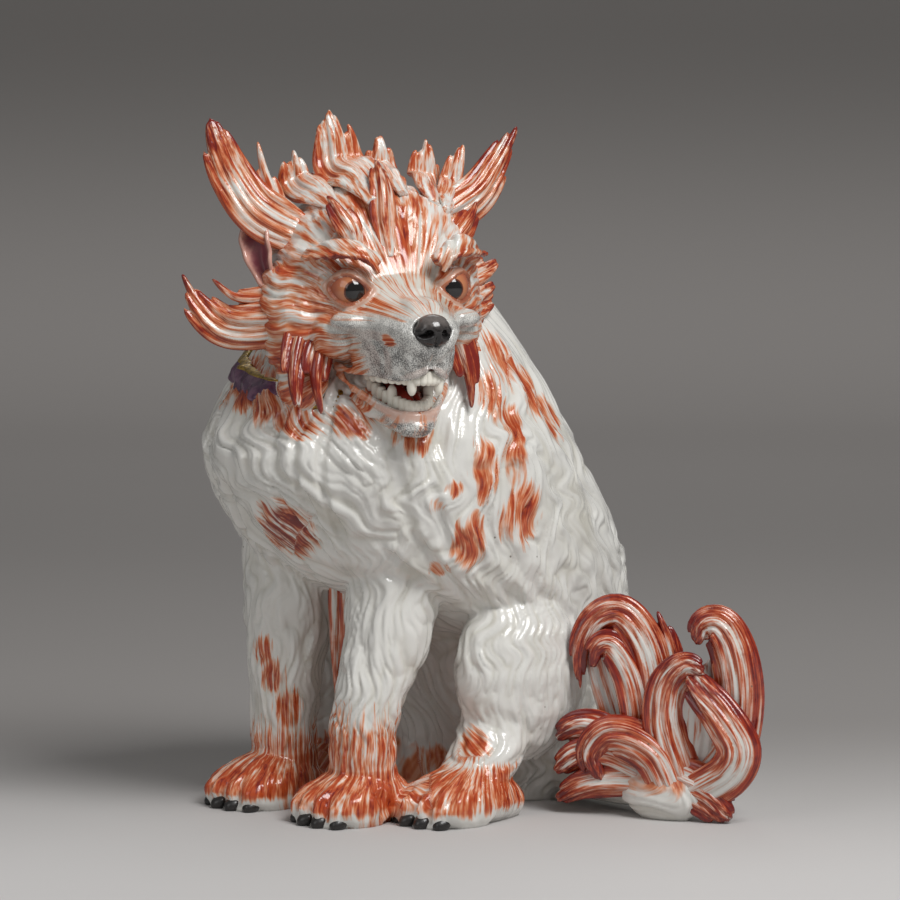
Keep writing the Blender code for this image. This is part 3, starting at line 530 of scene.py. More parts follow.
def brushwork_group() -> bpy.types.NodeTree:
    """The painter's brushwork: strokes of iron red over the white, slate stipple and flesh tint.

    Returns:
        The group, which puts out a colour and how thickly it lies.
    """
    value, colour, vector = SocketKind.VALUE, SocketKind.COLOUR, SocketKind.VECTOR
    build, given, result = node_group(
        "brushwork",
        {"Coordinates": vector, "Comb": vector, "Red": value, "Dark": value, "Slate": value,
         "Flesh": value, "Ground": colour, "Wash": colour, "Iron": colour, "Deep": colour,
         "Slate Colour": colour, "Flesh Colour": colour},
        {"Colour": colour, "Thickness": value})
    stroke = build.centred(build.noise(*STROKE_NOISE, given["Comb"]))
    hairline = build.centred(build.noise(*HAIRLINE_NOISE, given["Comb"]))
    blot = build.centred(build.noise(*BLOT_NOISE))
    laid = build.math("SUBTRACT", build.step(given["Red"], 0.0, 0.15), 1.5)
    amount = build.plus(stroke, 2.3, build.math("ADD", given["Red"], laid))
    amount = build.plus(hairline, 0.7, amount)
    amount = build.plus(blot, 0.25, amount)
    cover = build.step(amount, *COVER_EDGE)
    body = build.mix(build.step(amount, 0.04, 0.50), given["Wash"], given["Iron"])
    depth = build.plus(build.step(amount, 0.3, 1.0), 0.8, given["Dark"])
    depth = build.math("ADD", depth, build.math("ADD", blot, hairline))
    body = build.mix(build.step(depth, 0.15, 0.95), body, given["Deep"])
    shade = build.mix(cover, given["Ground"], body)
    stipple = build.plus(blot, 0.5, build.noise(*STIPPLE_NOISE))
    stipple = build.math("MULTIPLY", given["Slate"], build.step(stipple, 0.34, 0.66))
    shade = build.mix(stipple, shade, given["Slate Colour"])
    bloom = build.step(build.noise(*MOTTLE_NOISE), 0.1, 0.5)
    flesh = build.math("MULTIPLY", given["Flesh"], bloom)
    shade = build.mix(flesh, shade, given["Flesh Colour"])
    build.feed(result, {"Colour": shade, "Thickness": cover})
    return build.tree


def glaze_group() -> bpy.types.NodeTree:
    """The glaze over the paint: tint pooled in the grooves, which also darkens them as painted shade, kiln
    specks and an uneven gloss.

    Returns:
        The group, which puts out a colour, a roughness and a height.
    """
    value, colour = SocketKind.VALUE, SocketKind.COLOUR
    build, given, result = node_group(
        "glaze",
        {"Coordinates": SocketKind.VECTOR, "Colour": colour, "Groove": value, "Thickness": value,
         "Pool And Shade Colour": colour, "Gloss": value},
        {"Colour": colour, "Roughness": value, "Height": value})
    cloud = build.noise(*CLOUD_NOISE)
    # Painted shade: the grooves are darkened, together with the tint of glaze pooled in them.
    tint = build.math("MULTIPLY", given["Groove"], build.step(cloud, 0.2, 0.75))
    shade = build.mix(tint, given["Colour"], given["Pool And Shade Colour"], "MULTIPLY")
    cells = build.add("ShaderNodeTexVoronoi", {"Vector": build.place, "Scale": SPECK_SCALE}, feature="F1")
    chance = build.add("ShaderNodeSeparateColor", {0: cells.outputs["Color"]}).outputs[0]
    rare = build.step(chance, 0.72, 0.74)
    speck = build.math("MULTIPLY", build.step(cells.outputs["Distance"], *SPECK_EDGE), rare)
    shade = build.mix(build.math("MULTIPLY", speck, 0.75), shade, rgba(SPECK_COLOUR))
    rough = build.plus(build.noise(*SHEEN_NOISE), 0.12, given["Gloss"])
    rough = build.plus(given["Thickness"], 0.05, rough)
    height = build.math("MULTIPLY", build.noise(*RIPPLE_NOISE), 0.5)
    height = build.plus(given["Thickness"], 0.5, height)
    build.feed(result, {"Colour": shade, "Roughness": rough, "Height": height})
    return build.tree


BRUSHWORK = brushwork_group()
GLAZE = glaze_group()


class Finish:
    """A finish whose material is built once and then shared."""

    name: str

    def material(self) -> bpy.types.Material:
        """Builds the finish, once.

        Returns:
            The material.
        """
        known = bpy.data.materials.get(self.name)
        if known:
            return known
        made = bpy.data.materials.new(self.name)
        made.use_nodes = True
        build = Nodes(made.node_tree)
        build.place = build.add("ShaderNodeTexCoord").outputs["Object"]
        build.feed(made.node_tree.nodes["Principled BSDF"], self.inputs(build))
        return made

    def inputs(self, build: Nodes) -> dict:
        """Sockets and values for the shader, by input name, added to the material's tree."""
        raise NotImplementedError


@dataclass(frozen=True)
class PaintedGlaze(Finish):
    """White porcelain painted with a brush and glazed over."""

    name: str
    ground: Colour = (0.74, 0.73, 0.69)
    wash: Colour = (0.72, 0.29, 0.135)
    iron: Colour = (0.46, 0.068, 0.017)
    deep: Colour = (0.20, 0.016, 0.010)
    slate: Colour = (0.155, 0.152, 0.147)
    flesh: Colour = (0.60, 0.24, 0.13)
    # Colour that darkens the grooves: pooled glaze together with painted shade.
    pooled_glaze_and_shade: Colour = (0.80, 0.78, 0.72)
    gloss: float = 0.13
    relief: float = 0.0004

    def inputs(self, build: Nodes) -> dict:
        """The brushwork seen through the glaze, with a thin clear coat.

        Args:
            build: Builder of the tree.

        Returns:
            The shader's inputs.
        """
        colours = {"Ground": self.ground, "Wash": self.wash, "Iron": self.iron, "Deep": self.deep,
                   "Slate Colour": self.slate, "Flesh Colour": self.flesh}
        layers = {socket: build.layer(socket.lower()) for socket in ("Red", "Dark", "Slate", "Flesh")}
        comb = build.add("ShaderNodeAttribute", attribute_name="comb").outputs["Vector"]
        brush = build.add(
            "ShaderNodeGroup",
            {"Coordinates": build.place, "Comb": comb, **layers,
             **{socket: rgba(colour) for socket, colour in colours.items()}},
            node_tree=BRUSHWORK)
        glaze = build.add(
            "ShaderNodeGroup",
            {"Coordinates": build.place, "Colour": brush.outputs["Colour"],
             "Thickness": brush.outputs["Thickness"], "Groove": build.layer("groove"),
             "Pool And Shade Colour": rgba(self.pooled_glaze_and_shade), "Gloss": self.gloss},
            node_tree=GLAZE)
        bump = build.add("ShaderNodeBump", {"Strength": 0.35, "Distance": self.relief,
                                            "Height": glaze.outputs["Height"]})
        return {"Base Color": glaze.outputs["Colour"], "Roughness": glaze.outputs["Roughness"],
                "Normal": bump.outputs["Normal"], "IOR": 1.5, **CLEAR_COAT}


COAT_GLAZE = PaintedGlaze("coat_glaze")
HAIR_GLAZE = PaintedGlaze("hair_glaze", wash=(0.72, 0.30, 0.145), iron=(0.45, 0.070, 0.018), gloss=0.11)
TAIL_GLAZE = PaintedGlaze("tail_glaze", wash=(0.62, 0.18, 0.07), iron=(0.36, 0.036, 0.012),
                          deep=(0.16, 0.012, 0.010), gloss=0.10)


@dataclass(frozen=True)
class Enamel(Finish):
    """A plain enamel whose tone runs between two colours along a mesh layer, with fine mottling."""

    name: str
    first: Colour
    second: Colour
    low: float
    high: float
    gloss: float = 0.12
    mottle: float = 500.0

    def inputs(self, build: Nodes) -> dict:
        """The mottled tone under a thin clear coat.

        Args:
            build: Builder of the tree.

        Returns:
            The shader's inputs.
        """
        spread = build.centred(build.noise(self.mottle, 4))
        tone = build.plus(spread, 0.5, build.layer("tone"))
        shade = build.mix(build.step(tone, self.low, self.high), rgba(self.first), rgba(self.second))
        rough = build.plus(build.noise(90, 2), 0.12, self.gloss)
        bump = build.add("ShaderNodeBump", {"Strength": 0.3, "Distance": 0.0003,
                                            "Height": build.noise(320, 2)})
        return {"Base Color": shade, "Roughness": rough, "Normal": bump.outputs["Normal"], **CLEAR_COAT}


BLACK_ENAMEL = Enamel("black_enamel", (0.012, 0.010, 0.010), (0.15, 0.13, 0.12), 0.25, 1.0)
CLAW_ENAMEL = Enamel("claw_enamel", (0.014, 0.012, 0.011), (0.10, 0.085, 0.075), 0.1, 1.0, gloss=0.36,
                     mottle=700.0)
TOOTH_GLAZE = Enamel("tooth_glaze", (0.44, 0.36, 0.27), (0.80, 0.78, 0.72), 0.0, 0.55, gloss=0.1)
TONGUE_ENAMEL = Enamel("tongue_enamel", (0.10, 0.010, 0.008), (0.34, 0.045, 0.03), 0.2, 0.9)
EAR_ENAMEL = Enamel("ear_enamel", (0.20, 0.055, 0.07), (0.62, 0.34, 0.27), 0.15, 0.95, mottle=260.0)


class Slot(Enum):
    """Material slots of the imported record."""

    WHITE = "white_glaze"
    RED = "iron_red_glaze"
    DARK_RED = "dark_red_glaze"
    EYE = "amber_eye_glaze"
    BLACK = "black_glaze"
    TOOTH = "tooth_glaze"
    MAUVE = "mauve_glaze"
    PURPLE = "purple_gilt_glaze"


def show(name: str, mesh: Mesh, finish: Finish,
         stands_for: Sequence[str] = ()) -> None:
    """Puts a finished mesh on the figure.

    Args:
        name: Name of the piece.
        mesh: Its mesh, in the figure's frame.
        finish: Its finish.
        stands_for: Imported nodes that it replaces.
    """
    mesh.name = name
    mesh.materials.clear()
    mesh.materials.append(finish.material())
    mesh.shade_smooth()
    piece = bpy.data.objects.new(name, mesh)
    bpy.context.scene.collection.objects.link(piece)
    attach(piece, BODY)
    if stands_for:
        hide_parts(*stands_for)
    log.info("%s: %d faces", name, len(mesh.polygons))


# The coat of body, legs and paws

@dataclass(frozen=True)
class Patch:
    """A painted place of the coat: its middle and reach in layout millimetres, and how full it is."""

    middle: Triple
    reach: Triple
    fullness: float
    dark: float = 0.0

    def over(self, points: Array) -> Array:
        """How far each point lies within the patch, from 0 outside to 1 at its middle."""
        offset = (points - layout(*self.middle)) / metres(self.reach)
        return ease(1.0, 0.35, np.linalg.norm(offset, axis=1))


COAT_PATCHES = (
    Patch((18, -88, 181), (31, 24, 41), 0.80, 0.6),
    Patch((39, -95, 252), (30, 18, 17), 0.74),
    Patch((66, -76, 252), (26, 20, 16), 0.74),
    Patch((88, -46, 240), (20, 18, 15), 0.74),
    Patch((100, -25, 209), (10, 10, 8), 0.85, 0.2),
    Patch((95, -33, 200), (8, 8, 9), 0.72),
    Patch((99, -10, 175), (17, 17, 27), 0.74, 0.1),
    Patch((86, -22, 158), (10, 10, 8), 0.70),
    Patch((104, -3, 221), (16, 15, 29), 0.72, 0.1),
    Patch((106, 23, 221), (16, 14, 26), 0.70),
    Patch((106, 27, 191), (20, 24, 31), 0.76, 0.2),
    Patch((79, 36, 284), (26, 20, 30), 0.70),
    Patch((84, 56, 264), (24, 19, 28), 0.70),
    Patch((84, 75, 246), (22, 17, 26), 0.66),
    Patch((93, 14, 262), (20, 17, 30), 0.70),
    Patch((99, 28, 246), (17, 14, 26), 0.66),
    Patch((-40, -80, 276), (30, 24, 34), 0.90, 0.25),
    Patch((-14, -92, 272), (28, 20, 30), 0.88, 0.25),
    Patch((10, -98, 262), (24, 18, 26), 0.80, 0.15),
    Patch((-70, -55, 250), (18, 22, 24), 0.62),
    Patch((-98, -30, 205), (16, 16, 22), 0.72, 0.2),
    Patch((-104, 15, 225), (16, 18, 22), 0.70),
    Patch((-100, 60, 180), (18, 22, 24), 0.72, 0.2),
    Patch((-62, 96, 262), (24, 20, 22), 0.66),
    Patch((0, 108, 280), (30, 22, 24), 0.66),
    Patch((40, 150, 205), (24, 22, 28), 0.72, 0.1),
    Patch((-46, 164, 150), (26, 22, 26), 0.72, 0.2),
    Patch((-37, -63, 99), (11, 12, 16), 0.78),
    Patch((-30, -60, 83), (12, 12, 17), 0.80, 0.2),
    Patch((-24, -51, 62), (14, 14, 20), 0.74),
    Patch((90, -4, 50), (20, 24, 22), 0.74),
    Patch((150, 90, 20), (16, 40, 20), 0.40),
    Patch((172, 84, 26), (34, 24, 18), 0.62),
)


@dataclass(frozen=True)
class CoatLie:
    """The way the hair lies on body and legs, as coordinates across and along the wavy locks."""

    grain: Grain

    HEIGHTS = (0.0, 0.035, 0.078, 0.116, 0.150, 0.185, 0.226, 0.290, 0.342)
    MIDDLES = (0.098, 0.098, 0.088, 0.068, 0.038, 0.023, 0.011, 0.003, -0.004)
    ZONES = ((-140, 6.0), (-60, -14.0), (8, 38.0), (82, -18.0), (150, 6.0))
    ZONE_SPREAD = 34.0
    GIRTH = 0.095
    WAVE = 5.5 * MM
    WAVE_LENGTH = 46 * MM
    WAVE_SPREAD = 44 * MM
    STROKE_WAVINESS = 0.4
    FORELEG = (42, -36, 0)
    FORELEG_REACH = 38 * MM
    FORELEG_GIRTH = 0.030
    FORELEG_EDGE = (1.35, 0.9)
    FORELEG_TOP = (0.205, 0.150)
    HAUNCH = (80, 52, 96)
    HAUNCH_REACH = 62 * MM
    HAUNCH_GIRTH = 0.050
    HAUNCH_EDGE = (1.1, 0.75)
    LIMB_WAVE = 0.8
    LIMB_LENGTH = 0.55
    PAW_TOP = (40 * MM, 30 * MM)
    PAW_BACK = (0.062, 0.045)
    WAVE_PHASES = 9
    ZONE_EDGE = 2.5
    LEAN_LEVEL = 0.2

    def leg_share(self, points: Array) -> Array:
        """How far each point belongs to a foreleg, from 0 to 1."""
        place = points - LAYOUT
        across, back, _ = np.array(self.FORELEG) * MM
        gap = np.hypot(np.abs(place[:, 0]) - across, place[:, 1] - back)
        return ease(*self.FORELEG_EDGE, gap / self.FORELEG_REACH) * ease(*self.FORELEG_TOP, place[:, 2])

    def haunch_share(self, points: Array) -> Array:
        """How far each point belongs to a haunch, from 0 to 1."""
        place = points - LAYOUT
        middle = np.array(self.HAUNCH) * MM
        gap = np.linalg.norm(np.abs(place * (1, 0, 0)) + place * (0, 1, 1) - middle, axis=1)
        return ease(*self.HAUNCH_EDGE, gap / self.HAUNCH_REACH)

    def paw_share(self, points: Array) -> Array:
        """How far each point belongs to a paw, from 0 to 1."""
        place = points - LAYOUT
        return ease(*self.PAW_TOP, place[:, 2]) * ease(*self.PAW_BACK, place[:, 1])

    def wave(self, points: Array) -> Array:
        """How far aside the waves of the hair push each point."""
        phase = self.WAVE_PHASES * self.grain.at(points, self.WAVE_SPREAD)
        return self.WAVE * np.sin(2 * math.pi * points[:, 2] / self.WAVE_LENGTH + phase)

    def turns(self, points: Array) -> Array:
        """Turn of each point round the body from its front to the left, in degrees."""
        place = points - LAYOUT
        middle = np.interp(place[:, 2], self.HEIGHTS, self.MIDDLES)
        return np.degrees(np.arctan2(place[:, 0], middle - place[:, 1]))

    def zone_shares(self, points: Array) -> Array:
        """How far each point belongs to each zone of the coat, one row for each zone."""
        turns = self.turns(points)
        gaps = np.stack([np.mod(turns - middle + 180, 360) - 180 for middle, _ in self.ZONES])
        shares = np.exp(-np.abs(gaps / self.ZONE_SPREAD) ** self.ZONE_EDGE)
        return shares / shares.sum(axis=0)

    def body(self, points: Array, sweep: float, waviness: float = 1.0) -> Array:
        """Places round and along the body's locks.

        Args:
            points: Points on the coat.
            sweep: Lean of the hair to the left as it goes down, in degrees.
            waviness: How wavy the locks are, from 0 for straight ones to 1.

        Returns:
            Two coordinates round the body and one along the hair, all in metres.
        """
        lean = np.tan(np.radians(sweep)) * (points[:, 2] - self.LEAN_LEVEL)
        turn = np.radians(self.turns(points)) + (waviness * self.wave(points) + lean) / self.GIRTH
        return np.stack((np.cos(turn) * self.GIRTH, np.sin(turn) * self.GIRTH, points[:, 2]), axis=1)

    def strokes(self, points: Array, middle: Triple) -> Array:
        """Places round and along the locks of the zone that a point in layout millimetres lies in."""
        zone = np.argmax(self.zone_shares(layout(*middle)[None])[:, 0])
        return self.body(points, self.ZONES[zone][1], self.STROKE_WAVINESS)

    def limb(self, points: Array, middle: Triple, girth: float) -> Array:
        """Places round and along the locks of the nearer one of a pair of limbs, like those of the body.

        Args:
            points: Points on the coat.
            middle: A point in the middle of the left limb, in layout millimetres.
            girth: Distance from the limb's middle to its skin.

        Returns:
            Two coordinates round the limb and one along the hair, all in metres.
        """
        place = (points - LAYOUT) * (np.where(points[:, :1] < LAYOUT[0], -1, 1) * (1, 0, 0) + (0, 1, 1))
        place = place - np.array(middle) * MM
        turn = np.arctan2(place[:, 0], -place[:, 1]) + self.LIMB_WAVE * self.wave(points) / girth
        along = points[:, 2] / self.LIMB_LENGTH
        return np.stack((np.cos(turn) * girth, np.sin(turn) * girth, along), axis=1)

    def locks(self, grain: Grain, points: Array, width: float, length: float) -> Array:
        """Random values drawn out along the hair.

        Args:
            grain: The random grain.
            points: Points on the coat.
            width: Width of a lock.
            length: Length of a lock.

        Returns:
            One value between 0 and 1 for each point.
        """
        stretch = np.array((1, 1, width / length))
        shares = self.zone_shares(points)
        value = sum(share * grain.at(self.body(points, sweep) * stretch, width)
                    for share, (_, sweep) in zip(shares, self.ZONES))
        limbs = ((self.leg_share(points), self.FORELEG, self.FORELEG_GIRTH),
                 (self.haunch_share(points), self.HAUNCH, self.HAUNCH_GIRTH))
        for share, middle, girth in limbs:
            value = value + share * (grain.at(self.limb(points, middle, girth) * stretch, width) - value)
        return value


@dataclass(frozen=True)
class PawPlace:
    """Where a paw lies: its heel on the ground, its length and its half width."""

    heel: Array
    length: float
    half_width: float

    TOES = 4
    HEEL_SHARE = 0.24
    PARTING_WIDTH = (4.0 * MM, 0.4 * MM)
    PARTING_START = (0.45, 0.75)
    PARTING_END = (1.3, 1.1)

    @classmethod
    def of(cls, node: str) -> "PawPlace":
        """Reads the place of a packed paw."""
        low, high = (np.array(corner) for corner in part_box(node))
        length = (high[1] - low[1]) * (1 - cls.HEEL_SHARE)
        heel = np.array(((low[0] + high[0]) / 2, low[1] + length, 0.0))
        return cls(heel, length, (high[0] - low[0]) / 2)

    def polar(self, points: Array) -> tuple[Array, Array]:
        """Distance of points from the heel and their turn from straight ahead."""
        offset = points - self.heel
        return np.hypot(offset[:, 0], offset[:, 1]), np.arctan2(offset[:, 0], -offset[:, 1])

    def toe_turns(self) -> Array:
        """The turn of each toe from straight ahead."""
        widest = math.atan2(self.half_width, self.length)
        return widest * (2 * np.arange(self.TOES) + 1 - self.TOES) / self.TOES

    def partings(self, points: Array) -> Array:
        """How deep points lie in the partings between the toes, from 0 to 1."""
        reach, turn = self.polar(points)
        turns = self.toe_turns()
        share = np.zeros(len(points))
        for parting in (turns[1:] + turns[:-1]) / 2:
            share = np.maximum(share, ease(*self.PARTING_WIDTH, np.abs(turn - parting) * reach))
        along = reach / self.length
        return share * ease(*self.PARTING_START, along) * ease(*self.PARTING_END, along)


PAW_NODES = ("forepaw_left", "forepaw_right", "hind_paw_left", "hind_paw_right")
PAW_PLACES = {node: PawPlace.of(node) for node in PAW_NODES}


@dataclass
class Coat:
    """Body, legs and paws under one glazed skin with combed hair."""

    fineness: float = 1.2 * MM
    softening: int = 12
    swell: float = 0.5 * MM
    tuft_height: float = 2.6 * MM
    lock_height: float = 2.2 * MM
    strand_height: float = 1.1 * MM
    paw_height: float = 1.6 * MM
    toe_depth: float = 3.2 * MM
    plug_middle: Triple = (0, 108, 1.5)
    plug_half: Triple = (65, 66, 1.5)
    cuts: tuple[float, ...] = (48 * MM, 128 * MM, 208 * MM)
    sections: tuple[str, ...] = ("coat_feet_and_seat", "coat_legs_and_rump", "coat_chest_and_back",
                                 "coat_neck")
    knee_fill: tuple[Triple, Triple] = ((82, 24, 60), (18, 16, 34))
    tail_mound: tuple[Triple, Triple] = ((168, 92, 15), (30, 12, 17))
    mound_turn: float = 20.0

    LIMBS = ("foreleg_left", "foreleg_right", "haunch_left", "haunch_right", "shank_left", "shank_right")
    PAW_STRANDS = 1.6
    HAUNCH_CALM = 0.5
    FORELEG_CALM = 0.25
    GROUND_FADE = (1 * MM, 9 * MM)
    GROUND_SKIN = 1.2 * MM
    PLUG_SIDES = 48
    HOLLOW_SIDES = 40
    LEFT_CUFF = (0.088, 0.045)
    RIGHT_CUFF = (0.066, 0.036)
    CUFF_RED = 0.66
    TOE_RED = 0.84
    SWAY = 1.6
    SWAY_SPREAD = 13 * MM
    FOOT_STEP = 9.0
    TUFT = (15 * MM, 42 * MM)
    LOCK = (6.2 * MM, 38 * MM)
    STRAND = (3.0 * MM, 26 * MM)
    STROKE = (2.1 * MM, 20 * MM)
    LIMB_STROKES = 24.0
    HOLLOW = ((-5, 98, 56, 47, 66), (35, 98, 68, 50, 80), (78, 88, 76, 46, 94),
              (116, 68, 82, 46, 112), (150, 38, 90, 83, 134), (185, 23, 94, 100, 132),
              (226, 11, 94, 110, 114), (258, 5, 82, 90, 102), (282, 3, 66, 62, 82))

    def skin(self) -> Mesh:
        """Fuses the solids, with the foot of the hollow plugged so that only the outside is drawn.

        Returns:
            The smooth skin.
        """
        shape = gather(("body_shell", "tail_stem", *self.LIMBS, *PAW_NODES), self.swell)
        (across, back, up), size = self.knee_fill
        for side in (1, -1):
            add_egg(shape, layout(side * across, back, up), metres(size))
        middle, size = self.tail_mound
        turn = Matrix.Rotation(math.radians(self.mound_turn), 4, "Z")
        add_egg(shape, layout(*middle), metres(size), turn)
        place = Matrix.Translation(Vector(layout(*self.plug_middle)))
        half = Vector(self.plug_half) * MM
        bmesh.ops.create_cone(
            shape, cap_ends=True, segments=self.PLUG_SIDES, radius1=1, radius2=1, depth=2,
            matrix=place @ Matrix.Diagonal((*half, 1)))
        return fused(as_mesh("coat", shape), self.fineness, self.softening)

    def comb(self, mesh: Mesh, lie: CoatLie) -> None:
        """Raises locks and strands of hair on the skin and parts the toes.

        Args:
            mesh: The skin.
            lie: The way the hair lies.
        """
        points = coordinates(mesh)
        normals = directions(mesh)
        paw = lie.paw_share(points)
        tufts = lie.locks(Grain(10), points, *self.TUFT)
        ridge = billow(lie.locks(Grain(11), points, *self.LOCK))
        strands = lie.locks(Grain(12), points, *self.STRAND)
        paw_strands = Grain(13).at(self.limb_strokes(points), self.PAW_STRANDS)
        strands = billow(strands + paw * (paw_strands - strands))
        height = self.tuft_height * (tufts - 0.5) + self.lock_height * (ridge - RIDGE_LEVEL)
        height *= ((1 - paw) * (1 - self.HAUNCH_CALM * lie.haunch_share(points))
                   * (1 - self.FORELEG_CALM * lie.leg_share(points)))
        height += (self.strand_height * (1 - paw) + self.paw_height * paw) * (strands - RIDGE_LEVEL)
        for foot in PAW_PLACES.values():
            height -= self.toe_depth * foot.partings(points) * ease(0.95, 0.6, normals[:, 2])
        height *= ease(*self.GROUND_FADE, points[:, 2])
        paint(mesh, groove=grooves(ridge) * (1 - paw))
        self.brush(mesh, lie)
        points = points + normals * height[:, None]
        points[:, 2] = np.where(points[:, 2] < self.GROUND_SKIN, 0, points[:, 2])
        reshape(mesh, points)

    def hollow(self, mesh: Mesh) -> Mesh:
        """Opens the foot again onto the hollow inside.

        Args:
            mesh: The skin, which is used up.

        Returns:
            The hollow skin.
        """
        shape = bmesh.new()
        before: Edges = []
        for place, (height, back, half, front_reach, back_reach) in enumerate(self.HOLLOW):
            ends = place in (0, len(self.HOLLOW) - 1)
            made = bmesh.ops.create_circle(shape, cap_ends=ends, segments=self.HOLLOW_SIDES, radius=1)
            for vert in made["verts"]:
                reach = back_reach if vert.co.y > 0 else front_reach
                vert.co = Vector(layout(vert.co.x * half, back + vert.co.y * reach, height))
            before = bridged(shape, before, made["verts"])
        bmesh.ops.recalc_face_normals(shape, faces=shape.faces)
        cutter = bpy.data.objects.new("hollow", as_mesh("hollow", shape))
        bpy.context.scene.collection.objects.link(cutter)
        settings = {"operation": "DIFFERENCE", "solver": "MANIFOLD", "object": cutter}
        result = evaluated(mesh, ("BOOLEAN", settings))
        bpy.data.objects.remove(cutter)
        return result

    def brush(self, mesh: Mesh, lie: CoatLie) -> None:
        """Stores where and how thickly the coat is painted, and the way the strokes run.

        Args:
            mesh: The skin.
            lie: The way the hair lies.
        """
        points = coordinates(mesh)
        normals = directions(mesh)
        place = points - LAYOUT
        height = place[:, 2]
        paw = lie.paw_share(points)
        leg = lie.leg_share(points)
        red = np.zeros(len(points))
        dark = np.zeros(len(points))
        width, length = self.STROKE
        comb = np.zeros((len(points), 3))
        for patch in COAT_PATCHES:
            share = patch.over(points)
            near = share > 0
            comb[near] = lie.strokes(points[near], patch.middle) / (width, width, length)
            red = np.maximum(red, patch.fullness * share)
            dark = np.maximum(dark, patch.dark * share)
        left = ease(-5 * MM, 5 * MM, place[:, 0])
        cuff = ease(*self.LEFT_CUFF, height) * left + ease(*self.RIGHT_CUFF, height) * (1 - left)
        red = np.maximum(red, self.CUFF_RED * cuff * leg)
        toe = self.TOE_RED * ease(2 * MM, 10 * MM, height) * ease(-0.6, 0.0, normals[:, 2])
        red = np.maximum(red, toe * paw)
        limb = (leg > 0) | (paw > 0)
        comb[limb] = self.limb_strokes(points[limb])
        comb[:, 0] += self.SWAY * (Grain(23).at(points, self.SWAY_SPREAD) - 0.5)
        paint(mesh, comb=comb, red=red, dark=dark, slate=0 * red, flesh=0 * red)

    def limb_strokes(self, points: Array) -> Array:
        """Stroke coordinates that run down the legs and fan out over the paws.

        Args:
            points: Points on legs and paws.

        Returns:
            Places round and along the nearest limb, in stroke widths and lengths.
        """
        feet = list(PAW_PLACES.values())
        reaches = np.stack([foot.polar(points)[0] for foot in feet])
        nearest = np.argmin(reaches, axis=0)
        turns = np.stack([foot.polar(points)[1] for foot in feet])
        turn = np.take_along_axis(turns, nearest[None], axis=0)[0]
        along = np.min(reaches, axis=0) - points[:, 2]
        return np.stack((np.cos(turn) * self.LIMB_STROKES, np.sin(turn) * self.LIMB_STROKES,
                         along / self.STROKE[1] + self.FOOT_STEP * nearest), axis=1)

    def split(self, mesh: Mesh) -> list[Mesh]:
        """Parts the skin into sections, closed where they join, and keeps the shading across the joins.

        Args:
            mesh: The finished skin.

        Returns:
            One mesh for each section, from the ground up.
        """
        layer = mesh.attributes.new("lie", "FLOAT_VECTOR", "POINT")
        layer.data.foreach_set("vector", directions(mesh).astype(np.float32).ravel())
        edges = (None, *self.cuts, None)
        parts = []
        for name, low, high in zip(self.sections, edges, edges[1:]):
            shape = bmesh.new()
            shape.from_mesh(mesh)
            for level, sense in ((low, -1), (high, 1)):
                if level is None:
                    continue
                cut = bmesh.ops.bisect_plane(
                    shape, geom=[*shape.verts, *shape.edges, *shape.faces], dist=0.001 * MM,
                    plane_co=(0, 0, level), plane_no=(0, 0, sense), clear_outer=True)
                rim = [part for part in cut["geom_cut"] if isinstance(part, bmesh.types.BMEdge)]
                bmesh.ops.triangle_fill(shape, edges=rim, use_beauty=False, normal=(0, 0, sense))
            section = as_mesh(name, shape)
            lie = np.empty(len(section.vertices) * 3, dtype=np.float32)
            section.attributes["lie"].data.foreach_get("vector", lie)
            section.attributes.remove(section.attributes["lie"])
            section.normals_split_custom_set_from_vertices(unit(lie.reshape(-1, 3)).tolist())
            parts.append(section)
        bpy.data.meshes.remove(mesh)
        return parts

    def build(self) -> None:
        """Makes the coat and puts it on the figure."""
        mesh = self.skin()
        self.comb(mesh, CoatLie(Grain(5)))
        mesh = self.hollow(mesh)
        stand_ins = ((*PAW_NODES, "tail_stem"), self.LIMBS, ("body_shell",), ())
        for name, part, nodes in zip(self.sections, self.split(mesh), stand_ins):
            show(name, part, COAT_GLAZE, nodes)


# The head

